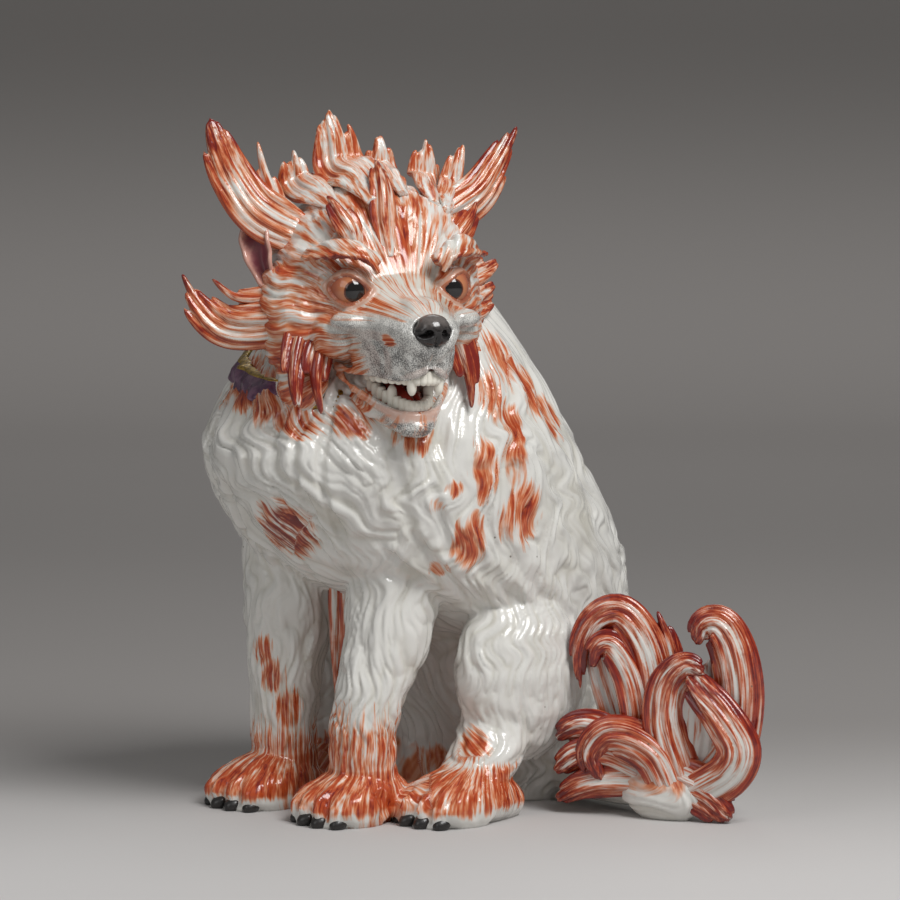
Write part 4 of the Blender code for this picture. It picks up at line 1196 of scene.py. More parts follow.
@dataclass
class Head:
    """Skull, brows, muzzle and jaw under one glazed skin."""

    fineness: float = 1.12 * MM
    softening: int = 4
    swell: float = 0.3 * MM
    lid_radius: float = 14.3 * MM
    hollow_radius: float = 11.4 * MM
    eye_place: Triple = (46, 32, -5)
    lock_height: float = 2.1 * MM
    strand_height: float = 1.6 * MM
    stroke_length: float = 26 * MM
    stroke_count: float = 30.0
    jaw_drop: float = -0.02
    jaw_short: float = 0.06
    jaw_hinge: float = 20 * MM
    muzzle_pinch: float = 0.26

    FAN_LEVEL = -28.0
    FAN_FRONT = 60
    SWAY = 2.6
    SWAY_SPREAD = 15 * MM
    LOCK_STRETCH = (0.36, 0.36, 0.7)
    JAW_LEVEL = -56 * MM
    LID_HEIGHT = 0.7 * MM
    FRAY_HEIGHT = 0.35 * MM
    FRAY_REACH = 4 * MM
    BROW_REACH = 7 * MM
    LIP_PARTING = 2.2 * MM
    EYE_REACH = 20
    FAR = 9.0
    EYE_OUTWARD = (0.80, 0.45, 0.02)
    OPENING = (12.5, 9.0)
    EYE_SLANT = 0.08
    BROW_EDGE = ((37, 61, 14), (52, 48, 15.5), (60, 40, 16.5), (64, 28, 14), (65, 21, 5))
    BROW_RADII = (1.8 * MM, 2.5 * MM, 2.8 * MM, 2.6 * MM, 1.8 * MM)
    BROW_ROOT = ((30, 56, 12), (43, 47, 19), (52, 38, 21), (57, 29, 18), (60, 18, 11))
    ROOT_RADII = (4 * MM, 5.5 * MM, 6.5 * MM, 6.0 * MM, 4 * MM)
    LOWER_LIP = ((30, 34, -57), (47, 31, -66), (61, 26, -74.5), (73, 16, -80), (78, 0, -81.5))
    UPPER_LIP = ((28, 35, -53), (48, 31, -55), (68, 28, -56), (83, 21, -57), (94, 11, -55),
                 (98, 0, -51))
    PADS = (((84, 11, -43), (15, 12, 11)), ((56, 34, -24), (11, 15, 7)), ((36, 42, -34), (20, 13, 15)),
            ((76, 6, -20), (20, 8, 11)), ((16, 52, -58), (18, 16, 27)), ((58, 27, -45), (20, 7, 13)),
            ((76, 22, -46), (14, 7, 12)), ((89, 13, -45), (9, 8, 11)))
    CHIN = ((69, 0, -88), (14, 16, 7))
    LOWER_LIP_RADII = (2 * MM, 3 * MM, 3.4 * MM, 3 * MM, 2 * MM)
    UPPER_LIP_RADII = (2 * MM, 2.4 * MM, 2.4 * MM, 2.4 * MM, 2 * MM)

    def eye_middle(self, side: int) -> Array:
        """The middle of the left (1) or right (-1) eyeball."""
        return mirrored((self.eye_place,), side)[0]

    def eye_outward(self, side: int) -> Array:
        """The direction that the left (1) or right (-1) eye opens to."""
        return HEAD.axis(*unit(np.array(self.EYE_OUTWARD) * (1, side, 1)))

    def almond(self, points: Array, side: int) -> Array:
        """How far points lie from the middle of an eye's almond opening, where 1 is its edge.

        Args:
            points: Points on the head.
            side: 1 for the left eye and -1 for the right.

        Returns:
            One distance for each point, large behind the eye and away from it.
        """
        outward = self.eye_outward(side)
        offset = (points - self.eye_middle(side)) / MM
        aside = offset @ (unit(np.cross(UP, outward)) * side)
        wide = aside / self.OPENING[0]
        tall = (offset[:, 2] - self.EYE_SLANT * aside) / self.OPENING[1]
        away = np.linalg.norm(offset, axis=1) > self.EYE_REACH
        return np.hypot(wide, tall * (1 + 0.45 * wide**2)) + self.FAR * (away | (offset @ outward < 0))

    def lid_share(self, points: Array, low: float, high: float) -> Array:
        """How far points belong to a band round either eye's opening, from 0 to 1."""
        gap = self.eye_gap(points)
        return ease(low - 0.07, low, gap) * ease(high + 0.15, high, gap)

    @staticmethod
    def whole(keys: Sequence[Triple]) -> Array:
        """A smooth path from the left end of some mirrored places round to the right end."""
        path = [*mirrored(keys, 1), *mirrored(keys[:-1], -1)[::-1]]
        return spline(path, np.linspace(0, 1, 61))

    def skin(self) -> Mesh:
        """Fuses skull, jaw, brows, lids, lips and cheek pads.

        Returns:
            The smooth skin.
        """
        shape = gather(("head", "lower_jaw"), self.swell)
        for vert in shape.verts:
            ahead, _, up = (float(value[0]) for value in HEAD.places(np.array(vert.co)[None]))
            if up < self.JAW_LEVEL:
                vert.co.z -= self.jaw_drop * max(ahead - self.jaw_hinge, 0)
                vert.co -= Vector(HEAD.ahead) * self.jaw_short * max(ahead - self.jaw_hinge, 0)
        for side in (1, -1):
            for middle, half in self.PADS:
                add_egg(shape, mirrored((middle,), side)[0], metres(half), HEAD_TURN)
            add_tube(shape, mirrored(self.BROW_EDGE, side), self.BROW_RADII)
            add_tube(shape, mirrored(self.BROW_ROOT, side), self.ROOT_RADII)
            add_egg(shape, self.eye_middle(side), (self.lid_radius,) * 3, fineness=32)
        add_tube(shape, self.whole(self.LOWER_LIP), self.LOWER_LIP_RADII, rings=40)
        add_tube(shape, self.whole(self.UPPER_LIP), self.UPPER_LIP_RADII, rings=44)
        middle, half = self.CHIN
        add_egg(shape, HEAD.point(*metres(middle)), metres(half), HEAD_TURN)
        return fused(as_mesh("head_coat", shape), self.fineness, self.softening)

    def sculpt(self, mesh: Mesh) -> None:
        """Narrows the muzzle, combs the hair, opens the eyes and frays the brows.

        Args:
            mesh: The skin.
        """
        points = coordinates(mesh)
        ahead, left, up = HEAD.places(points)
        pinch = self.muzzle_pinch * ease(-24 * MM, -48 * MM, up) * ease(42 * MM, 68 * MM, ahead)
        points = points - HEAD.left * (left * pinch)[:, None]
        reshape(mesh, points)
        normals = directions(mesh)
        ahead, left, up = HEAD.millimetres(points)
        comb = self.strokes(points)
        strands = Grain(31).at(comb, 1.0)
        ridge = billow(Grain(32).at(comb * self.LOCK_STRETCH, 1.0))
        bare = np.maximum(self.muzzle_share(points), ease(2.2, 1.7, self.eye_gap(points)))
        hair = (1 - bare) * (1 - self.inside_share(points, normals))
        hair = hair * (1 - 0.8 * self.brow_share(points))
        hair = hair * np.maximum(ease(52, 40, ahead + 0.5 * np.minimum(up + 60, 0)), ease(8, 22, up))
        height = self.strand_height * (strands - 0.55) + self.lock_height * (ridge - RIDGE_LEVEL)
        height = hair * height
        height = height + self.LID_HEIGHT * self.lid_share(points, 1.0, 1.25)
        height = height - self.LID_HEIGHT * self.lid_share(points, 1.5, 1.6)
        fray = np.sin(left * 1.35 + 1.7 * np.sin(left * 0.41))
        for side in (1, -1):
            edge = nearness(points, self.brow_path(side), self.FRAY_REACH)
            height = height + edge * self.FRAY_HEIGHT * fray
        parting = ease(3.0, 0.8, np.abs(left)) * ease(-38, -46, up) * ease(90, 97, ahead)
        height = height - self.LIP_PARTING * parting
        self.brush(mesh, normals, comb, ridge * hair)
        points = points + normals * height[:, None]
        for side in (1, -1):
            offset = points - self.eye_middle(side)
            gap = np.linalg.norm(offset, axis=1)
            opening = ease(1.03, 0.93, self.almond(points, side))
            sunk = np.minimum(self.hollow_radius / np.maximum(gap, 1e-6), 1.0)
            points = self.eye_middle(side) + offset * (1 + opening * (sunk - 1))[:, None]
        reshape(mesh, points)

    def brow_path(self, side: int) -> Array:
        """Points along the edge of the left (1) or right (-1) brow."""
        return spline(mirrored(self.BROW_EDGE, side), np.linspace(0, 1, 40))

    def brow_share(self, points: Array) -> Array:
        """How far points belong to the edge of either brow, from 0 to 1."""
        edges = [self.brow_path(side) for side in (1, -1)]
        return nearness(points, np.concatenate(edges), self.BROW_REACH)

    def eye_gap(self, points: Array) -> Array:
        """How far points lie from the nearer eye's opening, where 1 is its edge."""
        return np.minimum(self.almond(points, 1), self.almond(points, -1))

    @staticmethod
    def muzzle_share(points: Array) -> Array:
        """How far points belong to the bare muzzle, from 0 to 1."""
        ahead, left, up = HEAD.places(points)
        slope = ahead + 0.15 * up + 0.10 * np.abs(left)
        return ease(46 * MM, 60 * MM, slope) * ease(-14 * MM, -27 * MM, up)

    @staticmethod
    def inside_share(points: Array, normals: Array) -> Array:
        """How far points lie inside the mouth, from 0 outside it to 1.

        Args:
            points: Points on the head.
            normals: The surface's normals there.

        Returns:
            One share for each point.
        """
        ahead, left, up = HEAD.millimetres(points)
        roof_wall = 18 * np.sqrt(np.clip(1 - (np.maximum(ahead - 45, 0) / 50) ** 2, 0, 1))
        floor_wall = 19 * np.sqrt(np.clip(1 - (np.maximum(ahead - 34, 0) / 45) ** 2, 0, 1))
        facing = normals[:, 2]
        aside = np.abs(left)
        roof = ease(-0.1, -0.5, facing) * ease(1, -1, aside - roof_wall) * ease(-42, -46, up)
        floor = ease(0.1, 0.5, facing) * ease(1, -1, aside - floor_wall) * ease(-92, -88, up)
        floor = floor * ease(-52, -56, up)
        return np.maximum(roof * ease(-66, -62, up), floor) * ease(18, 24, ahead)

    def strokes(self, points: Array) -> Array:
        """Stroke coordinates that fan out from the muzzle over the face, cheeks and forehead.

        Args:
            points: Points on the head.

        Returns:
            Places round and along the hair, in stroke widths and lengths.
        """
        ahead, left, up = HEAD.millimetres(points)
        turn = np.arctan2(left, up - self.FAN_LEVEL)
        reach = np.hypot(left, up - self.FAN_LEVEL) + np.maximum(self.FAN_FRONT - ahead, 0)
        sway = self.SWAY * (Grain(43).at(points, self.SWAY_SPREAD) - 0.5)
        return np.stack((np.cos(turn) * self.stroke_count + sway, np.sin(turn) * self.stroke_count,
                         reach * MM / self.stroke_length), axis=1)

    def brush(self, mesh: Mesh, normals: Array, comb: Array,
              ridge: Array) -> None:
        """Stores where and how thickly the head is painted, and the way the strokes run.

        Args:
            mesh: The skin.
            normals: Its normals.
            comb: The stroke coordinates of each vertex.
            ridge: How high the hair stands at each vertex.
        """
        points = coordinates(mesh)
        ahead, left, up = HEAD.millimetres(points)
        aside = np.abs(left)
        muzzle = self.muzzle_share(points)
        inside = self.inside_share(points, normals)
        cheek = ease(24, 44, aside) * ease(6, -16, up) * ease(70, 46, ahead)
        forehead = ease(20, 9, aside) * ease(-10, 14, up)
        pad = ease(19, 8, np.hypot(aside - 36, (up + 22) * 1.4)) * ease(40, 50, ahead)
        bridge = ease(24, 10, aside) * ease(20, -10, up) * ease(44, 56, ahead)
        temple = ease(24, 12, np.hypot(aside - 40, up - 34))
        red = np.maximum.reduce((0.60 + 0.10 * cheek, 0.80 * forehead, 0.66 * pad))
        red = (red - 0.14 * temple) * (1 - 0.42 * bridge) * (1 - muzzle)
        spot = ease(8, 4, np.hypot(ahead - 84, (up + 34) * 1.5)) * ease(8, 14, -left)
        below = ease(-77, -85, up) * (1 - inside)
        red = np.maximum(red * (1 - below), 0.36 * below)
        lids = self.lid_share(points, 1.0, 1.3)
        brow = self.brow_share(points)
        # The downward-facing socket under each brow gets the brow's red, darkened there as painted shade.
        socket = ease(0.2, -0.25, normals[:, 2]) * ease(1.25, 1.45, self.eye_gap(points))
        socket = socket * ease(3, 8, up) * ease(40, 48, ahead) * ease(23, 19, up)
        red = red * (1 + 0.25 * brow) * (1 - lids)
        rim = self.lid_share(points, 0.97, 1.0)
        red = np.maximum.reduce((red, 0.9 * socket, 1.2 * inside, 0.95 * spot, rim))
        dark = np.maximum.reduce((0.5 * socket, inside, rim))
        lower_lip = nearness(points, self.whole(self.LOWER_LIP), 5.5 * MM)
        upper_lip = nearness(points, self.whole(self.UPPER_LIP), 3.0 * MM)
        lip = np.maximum(lower_lip, 0.3 * upper_lip) * (1 - 0.9 * inside)
        slate = (0.75 + 0.25 * ease(-28, -48, up)) * muzzle * (1 - spot)
        slate = np.maximum(slate, 0.5 * ease(-90, -97, up) * ease(40, 50, ahead))
        paint(mesh, comb=comb, red=red, dark=dark, slate=slate * (1 - inside) * (1 - lip),
              flesh=np.maximum(0.6 * lip, 0.7 * lids), groove=grooves(ridge) * (1 - muzzle))

    def build(self) -> None:
        """Makes the head and puts it on the figure."""
        mesh = self.skin()
        self.sculpt(mesh)
        show("head_coat", mesh, COAT_GLAZE,
             ("head", "lower_jaw", "brow_left", "brow_right"))


@dataclass(frozen=True)
class EyeGlaze(Finish):
    """Painted eye: black pupil, brown ring and a flesh-coloured ball, by the turn from the gaze."""

    name: str = "eye_glaze"
    pupil: Colour = (0.008, 0.007, 0.007)
    ring: Colour = (0.10, 0.025, 0.012)
    ball: Colour = (0.50, 0.19, 0.085)
    rim: Colour = (0.42, 0.12, 0.06)

    PUPIL_EDGE = (25.5, 27)
    RING_EDGE = (30.5, 32.5)
    BALL_EDGE = (36, 62)

    def inputs(self, build: Nodes) -> dict:
        """The pupil, its ring and the ball, by the turn from the gaze in degrees.

        Args:
            build: Builder of the tree.

        Returns:
            The shader's inputs.
        """
        mottle = build.centred(build.noise(*MOTTLE_NOISE))
        turn = build.plus(mottle, 2.5, build.layer("turn"))
        ball = build.mix(build.step(turn, *self.BALL_EDGE), rgba(self.ball), rgba(self.rim))
        shade = build.mix(build.step(turn, *self.RING_EDGE), rgba(self.ring), ball)
        shade = build.mix(build.step(turn, *self.PUPIL_EDGE), rgba(self.pupil), shade)
        rough = build.plus(mottle, 0.06, 0.08)
        return {"Base Color": shade, "Roughness": rough, "Coat Weight": 0.5, "Coat Roughness": 0.03}


@dataclass
class Eyes:
    """The two glazed eyeballs, both looking the same way."""

    gaze: Triple = (0.891, -0.454, -0.09)
    bulge: float = 0.5 * MM

    def build(self) -> None:
        """Makes the eyes and puts them on the figure."""
        for node in ("eye_left", "eye_right"):
            low, high = (np.array(corner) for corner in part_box(node))
            middle = (low + high) / 2
            shape = bmesh.new()
            add_egg(shape, middle, tuple((high - low) / 2), fineness=56)
            mesh = as_mesh(node, shape)
            points = coordinates(mesh)
            outward = unit(points - middle)
            turn = np.degrees(np.arccos(np.clip(outward @ unit(np.array(self.gaze)), -1, 1)))
            reshape(mesh, points + outward * (self.bulge * ease(33, 22, turn))[:, None])
            paint(mesh, turn=turn)
            show("ball_" + node, mesh, EyeGlaze(), (node,))


@dataclass
class Nose:
    """The black nose with its nostrils and parting."""

    half_sizes: Triple = (10.5 * MM, 12 * MM, 10.3 * MM)
    nostril_depth: float = 6.0 * MM
    parting_depth: float = 2.0 * MM

    def build(self) -> None:
        """Makes the nose and puts it on the figure."""
        middle = np.array(sum(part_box("nose"), Vector())) / 2
        shape = bmesh.new()
        add_egg(shape, middle, self.half_sizes, HEAD_TURN, fineness=72)
        mesh = as_mesh("nose", shape)
        points = coordinates(mesh)
        normals = directions(mesh)
        offset = points - middle
        ahead, left, up = offset @ HEAD.ahead / MM, offset @ HEAD.left / MM, offset[:, 2] / MM
        aside = np.abs(left)
        front = ease(1, 5, ahead)
        lobe = np.hypot((aside - 5.6) / 2.9, (up + 1.2) / 2.6)
        tail = np.hypot((aside - 9.2) / 3.2, (up + 2.8 - 0.25 * (aside - 9)) / 1.3)
        nostril = ease(1.25, 0.35, np.minimum(lobe, tail)) * front
        parting = ease(1.5, 0.3, aside) * ease(0, -4, up) * front
        flank = ease(7, 12, aside) * ease(0, 6, up)
        height = -self.nostril_depth * nostril - self.parting_depth * parting - 1.5 * MM * flank
        reshape(mesh, points + normals * height[:, None])
        # The nose's top is painted lighter as a painted highlight, and the nostrils and parting darker as
        # painted shade.
        paint(mesh, tone=np.clip(0.35 + 0.5 * ease(0, 8, up) - nostril - 0.6 * parting, 0, 1))
        show("nose_tip", mesh, BLACK_ENAMEL, ("nose",))


@dataclass(frozen=True)
class Arch:
    """A row of teeth: its place and size in millimetres, and which two of its teeth are long.

    The teeth point up where sense is 1 and down where it is -1. Slope is the fall of the roots for
    each millimetre ahead, and size is the height of the teeth as a share of the full height.
    """

    start: float
    length: float
    half_width: float
    level: float
    sense: int
    canines: tuple[int, int]
    slope: float = 0.0
    size: float = 1.0


@dataclass
class Mouth:
    """Two arches of teeth and the tongue between them."""

    tooth_count: int = 21
    tooth_height: float = 6.2
    canine_height: float = 12.5
    canine_width: float = 3.0
    furrow_depth: float = 1.3 * MM

    UPPER = Arch(42, 52, 19.5, -55.5, -1, (7, 13))
    LOWER = Arch(34, 41, 17.0, -62.5, 1, (5, 15), slope=0.36, size=0.85)
    TOOTH_STEPS = (-0.5, 0.3, 0.75, 0.97)
    ARCH_END = 0.04

    def tooth(self, shape: Shape, root: Array, width: float, height: float,
              sense: int) -> None:
        """Adds a tooth to a bmesh.

        Args:
            shape: The bmesh.
            root: Middle of the tooth's root.
            width: Its half width.
            height: Its height.
            sense: 1 for a tooth that points up and -1 for one that points down.
        """
        path = [root + UP * (sense * step * height) for step in self.TOOTH_STEPS]
        blunt = 0.30 if height > 2 * width else 0.62
        add_tube(shape, path, np.array((0.9, 1.1, 0.95, blunt)) * width, rings=9, sides=12)

    def teeth(self, arch: Arch) -> Mesh:
        """Sets teeth round an arch.

        Args:
            arch: The arch.

        Returns:
            The row of teeth.
        """
        shape = bmesh.new()
        turns = np.linspace(self.ARCH_END, math.pi - self.ARCH_END, self.tooth_count)
        for number, turn in enumerate(turns):
            ahead = arch.start + arch.length * math.sin(turn)
            level = arch.level - arch.slope * (ahead - arch.start)
            root = HEAD.point(ahead * MM, arch.half_width * math.cos(turn) * MM, level * MM)
            canine = number in arch.canines
            width = self.canine_width if canine else 2.6 + 0.5 * abs(math.cos(turn))
            height = arch.size * (self.canine_height if canine else self.tooth_height)
            self.tooth(shape, root, width * MM, height * MM, arch.sense)
        mesh = as_mesh("teeth", shape)
        # Each tooth is painted browner towards its root as painted shade, and whiter at its tip.
        height = coordinates(mesh)[:, 2]
        share = (height - height.min()) / np.ptp(height)
        paint(mesh, tone=0.45 + 0.5 * (share if arch.sense > 0 else 1 - share))
        return mesh

    def build(self) -> None:
        """Makes the teeth and the tongue and puts them on the figure."""
        upper = self.teeth(self.UPPER)
        lower = self.teeth(self.LOWER)
        show("teeth_upper", upper, TOOTH_GLAZE, ("upper_teeth",))
        show("teeth_lower", lower, TOOTH_GLAZE, ("lower_teeth",))
        mesh = fused(as_mesh("tongue", gather(("tongue",), 0.2 * MM)), 0.8 * MM, 6)
        points = coordinates(mesh)
        ahead, left, _ = HEAD.places(points)
        furrow = ease(3 * MM, 0.4 * MM, np.abs(left))
        top = ease(0.2, 0.7, directions(mesh)[:, 2])
        reshape(mesh, points - UP * (self.furrow_depth * furrow * top)[:, None])
        # The tongue is painted darker towards the throat and in its furrow as painted shade.
        paint(mesh, tone=ease(20 * MM, 70 * MM, ahead) * (1 - 0.5 * furrow))
        show("tongue_top", mesh, TONGUE_ENAMEL, ("tongue",))


@dataclass
class Ears:
    """The two cupped ears."""

    half_width: float = 10.5 * MM
    cup: float = 8.5 * MM
    wall: float = 2.2 * MM
    across_count: int = 24
    along_count: int = 40

    PATHS = {1: ((-26, 58, 38), (-22, 64, 26), (-20, 64, 12), (-16, 60, -4)),
             -1: ((-6, 72, 39), (-2, 74, 25), (0, 72, 11), (0, 66, -6))}

    def build(self) -> None:
        """Makes the ears and puts them on the figure."""
        for side, node in ((1, "ear_left"), (-1, "ear_right")):
            shape = bmesh.new()
            bmesh.ops.create_grid(shape, x_segments=self.across_count, y_segments=self.along_count,
                                  size=1)
            mesh = as_mesh(node, shape)
            sheet = coordinates(mesh)
            across, along = sheet[:, 0], (sheet[:, 1] + 1) / 2
            line = spline(mirrored(self.PATHS[side], side), along)
            outward = unit(HEAD.axis(0.75, side * 0.66, 0.0))
            wide = unit(np.cross(UP, outward))
            outline = np.sqrt(np.clip(1 - (2 * along - 1) ** 2, 0.02, 1))
            width = self.half_width * outline * (1.1 - 0.25 * along)
            ripple = 0.8 * MM * np.sin(along * 21) * across**2
            bowl = self.cup * (across**2 - 0.55 + 0.5 * (2 * along - 1) ** 4) + ripple
            reshape(mesh, line + wide * (across * width)[:, None] + outward * (bowl + 3 * MM)[:, None])
            # The cup is painted dark mauve in its hollow, partly its own colour and partly painted shade,
            # and pale towards the rim.
            paint(mesh, tone=0.15 + 0.75 * np.abs(across) ** 3 + 0.1 * np.sin(along * 17 + across * 3))
            shape = bmesh.new()
            shape.from_mesh(mesh)
            bmesh.ops.solidify(shape, geom=shape.faces, thickness=self.wall)
            bmesh.ops.recalc_face_normals(shape, faces=shape.faces)
            show("cup_" + node, as_mesh(node, shape), EAR_ENAMEL, (node,))


@dataclass
class Claws:
    """The blunt black claws at the front of each paw."""

    half_sizes: Triple = (6.0 * MM, 6.4 * MM, 4.8 * MM)
    height: float = 3.6 * MM
    inset: float = 6.0 * MM
    toe_turn: float = 0.16
    toe_top: float = 20 * MM
    narrowing: float = 0.30
    dip: float = 1.6 * MM
    clearance: float = 0.2 * MM

    def build(self) -> None:
        """Makes the claws and puts them on the figure."""
        for node, foot in PAW_PLACES.items():
            solid = coordinates(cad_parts[node].data)
            reach, turn = foot.polar(solid)
            shape = bmesh.new()
            for toe in foot.toe_turns():
                near = (np.abs(turn - toe) < self.toe_turn) & (solid[:, 2] < self.toe_top)
                front = reach[near].max() - self.inset
                outward = np.array((math.sin(toe), -math.cos(toe), 0))
                place = foot.heel + outward * front + UP * self.height
                spin = Matrix.Rotation(toe, 4, "Z")
                for vert in add_egg(shape, place, self.half_sizes, spin, fineness=20):
                    offset = spin.inverted() @ (vert.co - Vector(place))
                    ahead = max(-offset.y / self.half_sizes[1], 0)
                    offset.x *= 1 - self.narrowing * ahead
                    offset.z -= self.dip * ahead
                    vert.co = Vector(place) + spin @ offset
                    vert.co.z = max(vert.co.z, self.clearance)
            mesh = as_mesh("claws", shape)
            # The claws are painted darker towards the ground as painted shade.
            paint(mesh, tone=ease(4 * MM, 14 * MM, coordinates(mesh)[:, 2]))
            show("claws_" + node, mesh, CLAW_ENAMEL)


@dataclass(frozen=True)
class CollarGlaze(Finish):
    """Purple enamel with gilding where the mesh says so."""

    name: str = "collar_glaze"
    purple: Colour = (0.085, 0.032, 0.075)
    pale: Colour = (0.20, 0.10, 0.16)
    gold: Colour = (0.55, 0.36, 0.06)
    shadow: Colour = (0.16, 0.085, 0.012)

    def inputs(self, build: Nodes) -> dict:
        """The clouded enamel and the gilding over it, with a shaded copy of the gold in random patches:
        painted shade together with wear.

        Args:
            build: Builder of the tree.

        Returns:
            The shader's inputs.
        """
        cloud = build.noise(180, 4)
        spread = build.centred(cloud)
        share = build.step(build.plus(spread, 0.5, build.layer("gilt")), 0.42, 0.58)
        enamel = build.mix(build.step(cloud, 0.35, 0.7), rgba(self.purple), rgba(self.pale))
        # Painted shade and wear: the gold is mixed at random with a darker shaded copy of itself.
        worn_and_shaded = build.step(build.noise(*MOTTLE_NOISE), 0.3, 0.65)
        leaf = build.mix(worn_and_shaded, rgba(self.shadow), rgba(self.gold))
        return {"Base Color": build.mix(share, enamel, leaf),
                "Metallic": build.math("MULTIPLY", share, 0.65),
                "Roughness": build.plus(share, 0.16, 0.14), "Coat Weight": 0.2}


@dataclass
class Collar:
    """The purple collar with gilt edges and a plain gilt plaque with lozenges."""

    fineness: float = 0.8 * MM
    edge: float = 1.7 * MM
    relief: float = 0.7 * MM
    plaque: tuple[float, float] = (20.0, 40.0)
    tilt: float = 8 * MM
    tuck: float = 6 * MM
    lozenge: float = 7.0 * MM
    girth: float = 85 * MM
    neck: Triple = (0, 5, 286)

    def build(self) -> None:
        """Makes the collar and puts it on the figure."""
        mesh = fused(as_mesh("collar", gather(("collar",), 0.4 * MM)), self.fineness, 3)
        points = coordinates(mesh)
        middle = points.mean(axis=0)
        spread = np.linalg.eigh(np.cov((points - middle).T))[1]
        rise = spread[:, 0] * np.sign(spread[2, 0])
        across = (points - middle) @ rise
        half = np.ptp(across) / 2
        across = across - across.min() - half
        neck = layout(*self.neck)
        turn = np.degrees(np.arctan2(points[:, 0] - neck[0], neck[1] - points[:, 1]))
        along = np.radians(turn) * self.girth
        gilt = ease(half - self.edge - 0.8 * MM, half - self.edge, np.abs(across))
        first, last = self.plaque
        plaque = ease(first - 1, first + 1, turn) * ease(last + 1, last - 1, turn)
        phase = np.abs(np.mod(along / self.lozenge, 1) - 0.5) * 2
        figure = ease(0.62, 0.5, phase + np.abs(across) / (half - self.edge))
        gilt = np.maximum(gilt, plaque * (1 - figure))
        lean = self.tilt * np.sin(np.radians(turn + 10)) * ease(110, 60, np.abs(turn))
        tuck = self.tuck * Grain(61).at(points, 11 * MM)
        sink = UP * lean[:, None] + unit((points - neck) * (1, 1, 0)) * tuck[:, None]
        reshape(mesh, points + directions(mesh) * (self.relief * gilt)[:, None] - sink)
        paint(mesh, gilt=gilt)
        show("collar_band", mesh, CollarGlaze(), ("collar",))


# Locks of hair

@dataclass(frozen=True)
class LockStyle:
    """How a kind of lock is painted from root to tip and at its edges, and how it ends."""

    red: tuple[float, ...]
    dark: tuple[float, ...]
    edge: float = 0.25
    fray: float = 0.35
    blunt: float = 0.62
    finish: PaintedGlaze = HAIR_GLAZE


class LockKind(Enum):
    """The kinds of lock on the figure."""

    HORN = LockStyle((0.50, 0.60, 0.70, 0.84, 1.1), (0.0, 0.0, 0.1, 0.3, 0.8), fray=0.30)
    CROWN = LockStyle((0.50, 0.56, 0.60, 0.60, 0.70), (0.0, 0.0, 0.0, 0.0, 0.15), fray=0.45, blunt=0.58)
    FLICK = LockStyle((0.55, 0.75, 0.9, 1.1), (0.1, 0.25, 0.4, 0.6), fray=0.45)
    CHEEK = LockStyle((0.52, 0.58, 0.66, 0.82, 1.05), (0.0, 0.0, 0.1, 0.3, 0.6), blunt=0.5)
    JOWL = LockStyle((0.7, 0.85, 1.0, 1.1), (0.3, 0.5, 0.6, 0.6), fray=0.5, blunt=0.6)
    TAIL = LockStyle((0.50, 0.66, 0.75, 0.86, 1.1), (0.0, 0.1, 0.25, 0.4, 0.6), edge=0.4, fray=0.15,
                     blunt=0.42, finish=TAIL_GLAZE)
    LEAF = LockStyle((0.1, 0.25, 0.4, 0.6), (0.0, 0.0, 0.1, 0.3), fray=0.2, blunt=0.5, finish=TAIL_GLAZE)
    BELLY = LockStyle((0.2, 0.6, 0.7, 0.8), (0.0, 0.1, 0.2, 0.3), fray=0.2, finish=TAIL_GLAZE)


@dataclass(frozen=True)
class Lock:
    """One lock: its node, its kind, and its path, half width and half depth in millimetres."""

    node: str
    kind: LockKind
    path: tuple[Triple, ...]
    half_width: float
    half_depth: float
    seed: int = 0
    leads: bool = False


